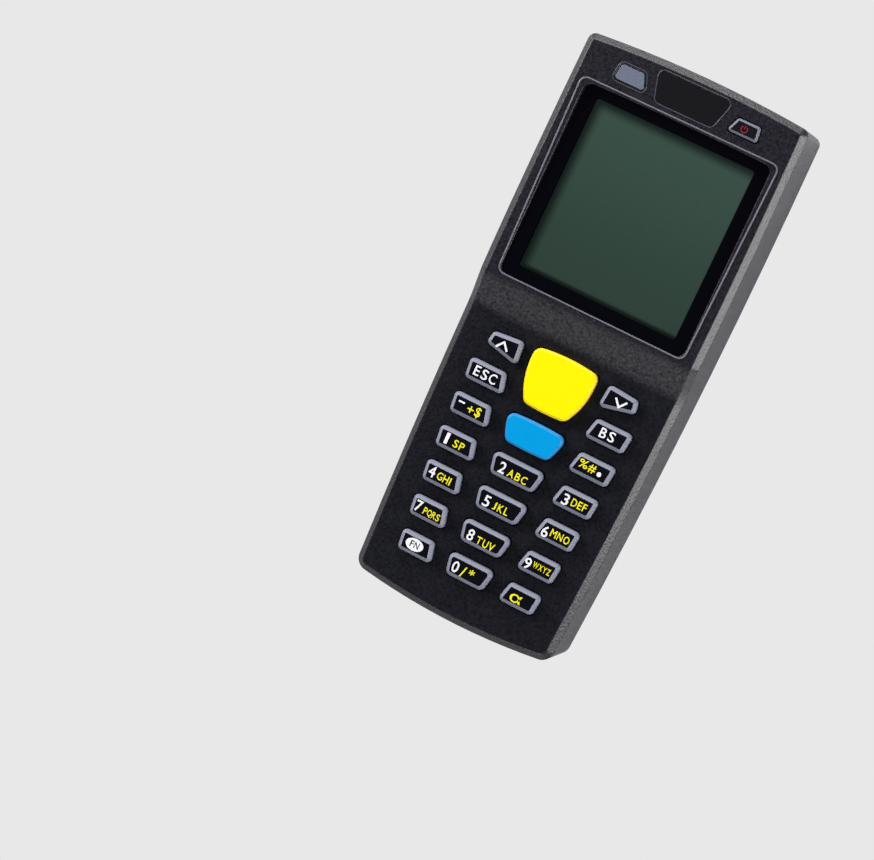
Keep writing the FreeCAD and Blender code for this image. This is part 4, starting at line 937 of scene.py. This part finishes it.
@dataclass
class Keypad(Assembly):
    """The keys, their mat and their legends."""

    digit: tuple[float, float] = (1.45, 2.4)
    small: float = 1.65
    minus_line: tuple[tuple[float, float], ...] = ((-17.0, -19.2), (-15.6, -19.2))
    minus_width: float = 0.36
    dot: Disc = field(default_factory=lambda: Disc((15.95, -20.0), (0.5, 0.5)))
    oval: Disc = field(default_factory=lambda: Disc((-12.5, -50.2), (2.0, 1.3)))
    arrow_place: tuple[float, float] = (13.6, -5.1)
    arrow_half: float = 1.3
    arrow_depths: tuple[float, float] = (0.75, 0.8)
    arrow_width: float = 0.42
    words: dict[str, list[tuple[str, float, float, float, float, Ink]]] = field(default_factory=dict)

    def __post_init__(self) -> None:
        """List the finishes and the legends."""
        bodies = self.frame["record"]["behaviour"]["bodies"]
        self.bodies = {nodes[0]: body for body, nodes in bodies.items() if nodes[0].startswith("key_")}
        self.bodies.pop("keypad_mat", None)
        special = {"key_scan": KEY_YELLOW, "key_enter": KEY_BLUE}
        self.wear = {node: special.get(node, KEY_BLACK) for node in self.bodies}
        self.wear["keypad_mat"] = MAT
        white, yellow = Ink.WHITE, Ink.YELLOW
        wide, tall = self.digit
        small = self.small
        self.words = {
            "key_escape": [("E", -16.2, -12.0, 1.25, 2.1, white), ("S", -14.4, -12.1, 1.4, 2.15, white),
                           ("C", -12.5, -12.15, 1.6, 2.15, white)],
            "key_backspace": [("B", 13.1, -12.0, 1.4, 2.1, white), ("S", 15.0, -12.0, 1.4, 2.15, white)],
            "key_minus": [("+", -14.0, -19.8, 1.4, 1.4, yellow), ("$", -12.3, -19.8, 1.25, 2.3, yellow)],
            "key_percent": [("%", 12.2, -19.4, 2.0, 1.8, yellow), ("#", 14.2, -19.6, 1.6, 1.8, yellow)],
            "key_1": [("1", -15.9, -27.3, 0.75, tall, white), ("S", -13.7, -27.55, 1.05, small, yellow),
                      ("P", -12.3, -27.6, 1.05, small, yellow)],
            "key_2": [("2", -2.7, -27.6, wide, tall, white), ("A", -0.6, -27.9, 1.35, small, yellow),
                      ("B", 1.0, -27.95, 1.1, small, yellow), ("C", 2.5, -28.0, 1.25, small, yellow)],
            "key_3": [("3", 12.0, -27.6, wide, tall, white), ("D", 13.9, -27.45, 1.2, small, yellow),
                      ("E", 15.2, -27.45, 0.9, small, yellow), ("F", 16.3, -27.45, 0.85, small, yellow)],
            "key_4": [("4", -15.7, -34.85, wide, tall, white), ("G", -13.8, -35.05, 1.25, small, yellow),
                      ("H", -12.4, -35.1, 1.15, small, yellow), ("I", -11.4, -35.15, 0.3, small, yellow)],
            "key_5": [("5", -2.7, -35.25, wide, tall, white), ("J", -0.8, -35.4, 0.75, small, yellow),
                      ("K", 0.6, -35.4, 1.2, small, yellow), ("L", 1.95, -35.4, 0.9, small, yellow)],
            "key_6": [("6", 11.0, -35.4, wide, tall, white), ("M", 12.8, -35.0, 1.3, small, yellow),
                      ("N", 14.3, -35.05, 1.15, small, yellow), ("O", 15.8, -35.1, 1.25, small, yellow)],
            "key_7": [("7", -15.2, -42.55, wide, tall, white), ("P", -13.5, -42.85, 0.8, 1.5, yellow),
                      ("Q", -12.5, -43.0, 1.0, 1.6, yellow), ("R", -11.45, -42.95, 0.85, 1.5, yellow),
                      ("S", -10.5, -43.0, 0.8, 1.5, yellow)],
            "key_8": [("8", -2.7, -43.0, wide, tall, white), ("T", -0.6, -43.3, 1.15, small, yellow),
                      ("U", 0.9, -43.35, 1.15, small, yellow), ("V", 2.3, -43.4, 1.25, small, yellow)],
            "key_9": [("9", 10.6, -42.9, wide, tall, white), ("W", 12.3, -42.5, 1.2, 1.3, yellow),
                      ("X", 13.45, -42.55, 0.85, 1.3, yellow), ("Y", 14.4, -42.6, 0.85, 1.3, yellow),
                      ("Z", 15.3, -42.65, 0.75, 1.3, yellow)],
            "key_fn": [("F", -13.1, -50.2, 0.8, 1.4, Ink.BLACK), ("N", -12.0, -50.2, 1.05, 1.4, Ink.BLACK)],
            "key_0": [("0", -2.7, -50.35, wide, tall, white), ("/", -0.8, -50.6, 1.0, 2.3, yellow),
                      ("*", 0.95, -49.95, 1.25, 1.25, yellow)],
            "key_alpha": [("α", 11.5, -50.6, 2.6, 1.8, yellow)],
        }

    def build(self) -> None:
        """Dress the keys and print their legends."""
        super().build()
        marks: dict[str, list[tuple[Stroke | Disc | Lettering, Ink]]] = {}
        for node, words in self.words.items():
            marks[node] = [(Lettering(text, (x, y), (width, height)), ink)
                           for text, x, y, width, height, ink in words]
        marks["key_minus"].append((Stroke(list(self.minus_line), self.minus_width), Ink.WHITE))
        marks["key_percent"].append((self.dot, Ink.WHITE))
        marks["key_fn"].append((self.oval, Ink.WHITE))
        for node, side, tip in (("key_up", -1, 1), ("key_down", 1, -1)):
            x, y = self.arrow_place[0] * side, self.arrow_place[1]
            foot, top = y - self.arrow_depths[0] * tip, y + self.arrow_depths[1] * tip
            chevron = [(x - self.arrow_half, foot), (x, top), (x + self.arrow_half, foot)]
            marks[node] = [(Stroke(chevron, self.arrow_width), Ink.WHITE)]
        for node, items in marks.items():
            Legend(node, items).build(self.bodies[node])


@dataclass
class ScanHead(Assembly):
    """Scan engine, its lens and the window in the head end."""

    wear: dict[str, Finish] = field(default_factory=lambda: {
        "scan_engine": ENGINE, "scan_lens": OPTIC, "scan_window": PANE})


@dataclass
class BatteryBay(Assembly):
    """Door, latch, cells and contacts."""

    wear: dict[str, Finish] = field(default_factory=lambda: {
        "battery_door": CASE_REAR, "door_latch": CASE_REAR, "battery_cells": SLEEVE,
        "battery_contacts": STEEL})


@dataclass
class Inside(Assembly):
    """Main board and what is soldered to it."""

    wear: dict[str, Finish] = field(default_factory=lambda: {
        "main_board": BOARD, "board_chips": DARK, "sounder": BRASS, "vibration_motor": STEEL,
        "memory_cell": STEEL, "board_screws": STEEL})


@dataclass
class Lamp:
    """A soft square lamp that looks at a point."""

    name: str
    at: Place
    towards: Place
    size: float
    power: float

    def build(self) -> None:
        """Hang the lamp."""
        data = bpy.data.lights.new(self.name, "AREA")
        data.shape = "SQUARE"
        data.size = self.size
        data.energy = self.power
        item = bpy.data.objects.new(self.name, data)
        bpy.context.scene.collection.objects.link(item)
        item.matrix_world = aimed(self.at, self.towards)


def aimed(at: Place, towards: Place) -> Matrix:
    """Place something so that its own minus Z looks at a point.

    Args:
        at: where it stands.
        towards: what it looks at.

    Returns:
        Its matrix.
    """
    back = np.array(at, float) - np.array(towards, float)
    back /= np.linalg.norm(back)
    right = np.cross((0.0, 1.0, 0.0) if abs(back[2]) > 0.9 else (0.0, 0.0, 1.0), back)
    right /= np.linalg.norm(right)
    up = np.cross(back, right)
    rows = [[right[i], up[i], back[i], at[i]] for i in range(3)] + [[0.0, 0.0, 0.0, 1.0]]
    return Matrix(rows)


@dataclass
class Studio:
    """Pale floor, pale surroundings and soft lamps."""

    backdrop: Colour = tone(232, 232, 232)
    bounce: Colour = (0.7, 0.7, 0.72)
    half: float = 6.0
    drop: float = 0.4
    horizon: Colour = (0.42, 0.42, 0.44)
    overhead: Colour = (0.03, 0.03, 0.035)
    heights: tuple[float, float] = (0.1, 0.85)
    lamps: list[Lamp] = field(default_factory=lambda: [
        Lamp("lamp_left", (-0.75, 0.25, 0.30), (0.0, 0.0, 0.02), 0.45, 9.0),
        Lamp("lamp_head", (-0.20, 0.85, 0.32), (0.0, 0.0, 0.02), 0.40, 6.0),
        Lamp("lamp_right", (0.80, 0.05, 0.28), (0.0, 0.0, 0.02), 0.45, 7.0),
        Lamp("lamp_foot", (0.15, -0.85, 0.45), (0.0, 0.0, 0.02), 0.40, 4.0),
    ])

    def build(self) -> None:
        """Build floor, surroundings and lamps."""
        self.floor()
        self.world()
        for lamp in self.lamps:
            lamp.build()

    def floor(self) -> None:
        """Lay a floor that the camera sees as one pale tone, and that can't be seen from below."""
        mesh = bpy.data.meshes.new("floor")
        low = -self.drop * MM
        mesh.from_pydata([(-self.half, -self.half, low), (self.half, -self.half, low),
                          (self.half, self.half, low), (-self.half, self.half, low)], [], [(0, 1, 2, 3)])
        item = bpy.data.objects.new("floor", mesh)
        bpy.context.scene.collection.objects.link(item)
        graph = Graph("floor")
        seen = graph.add("ShaderNodeEmission", Color=self.backdrop, Strength=1.0)
        lit = graph.add("ShaderNodeBsdfDiffuse", Color=self.bounce)
        clear = graph.add("ShaderNodeBsdfTransparent")
        path = graph.tree.nodes.new("ShaderNodeLightPath")
        back = graph.tree.nodes.new("ShaderNodeNewGeometry")
        front = graph.tree.nodes.new("ShaderNodeMixShader")
        graph.put(front, 0, path.outputs["Is Camera Ray"])
        graph.put(front, 1, lit.outputs[0])
        graph.put(front, 2, seen.outputs[0])
        both = graph.tree.nodes.new("ShaderNodeMixShader")
        graph.put(both, 0, back.outputs["Backfacing"])
        graph.put(both, 1, front.outputs[0])
        graph.put(both, 2, clear.outputs[0])
        graph.tree.links.new(both.outputs[0], graph.output.inputs["Surface"])
        mesh.materials.append(graph.material)

    def world(self) -> None:
        """Surround the stage: pale to the camera, dim overhead and brighter near the horizon to all else."""
        world = bpy.data.worlds.new("surroundings")
        bpy.context.scene.world = world
        world.use_nodes = True
        tree = world.node_tree
        tree.nodes.clear()
        output = tree.nodes.new("ShaderNodeOutputWorld")
        coordinates = tree.nodes.new("ShaderNodeTexCoord")
        apart = tree.nodes.new("ShaderNodeSeparateXYZ")
        tree.links.new(coordinates.outputs["Generated"], apart.inputs[0])
        ramp = tree.nodes.new("ShaderNodeValToRGB")
        stops = zip(ramp.color_ramp.elements, self.heights, (self.horizon, self.overhead))
        for stop, height, colour in stops:
            stop.position = height
            stop.color = (*colour, 1.0)
        tree.links.new(apart.outputs[2], ramp.inputs[0])
        around = tree.nodes.new("ShaderNodeBackground")
        tree.links.new(ramp.outputs[0], around.inputs[0])
        seen = tree.nodes.new("ShaderNodeBackground")
        seen.inputs[0].default_value = (*self.backdrop, 1.0)
        path = tree.nodes.new("ShaderNodeLightPath")
        mix = tree.nodes.new("ShaderNodeMixShader")
        tree.links.new(path.outputs["Is Camera Ray"], mix.inputs[0])
        tree.links.new(around.outputs[0], mix.inputs[1])
        tree.links.new(seen.outputs[0], mix.inputs[2])
        tree.links.new(mix.outputs[0], output.inputs[0])


@dataclass
class MainCamera:
    """The view of the photograph: from over the head's right side, turned in the picture."""

    at: Place = (0.11195, 0.04142, 0.60106)
    right: Place = (0.87193, 0.42341, -0.24588)
    up: Place = (-0.43839, 0.89876, -0.00696)
    back: Place = (0.21804, 0.11386, 0.96927)
    lens: float = 119.465
    sensor: float = 36.0
    nearest: float = 0.01
    picture: tuple[int, int] = (874, 860)

    def build(self) -> None:
        """Stand the camera and set the picture's size."""
        data = bpy.data.cameras.new("main_camera")
        data.lens = self.lens
        data.sensor_width = self.sensor
        data.clip_start = self.nearest
        item = bpy.data.objects.new("main_camera", data)
        scene = bpy.context.scene
        scene.collection.objects.link(item)
        rows = [[self.right[i], self.up[i], self.back[i], self.at[i]] for i in range(3)]
        item.matrix_world = Matrix(rows + [[0.0, 0.0, 0.0, 1.0]])
        scene.camera = item
        scene.view_settings.view_transform = "Standard"


def main() -> None:
    """Build the looks in order."""
    logging.basicConfig(level=logging.INFO, format="%(name)s: %(message)s")
    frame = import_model()
    for assembly in (Housing, Display, HeadBand, Keypad, ScanHead, BatteryBay, Inside):
        assembly(frame).build()
    Studio().build()
    MainCamera().build()


if __name__ == "__main__":
    main()
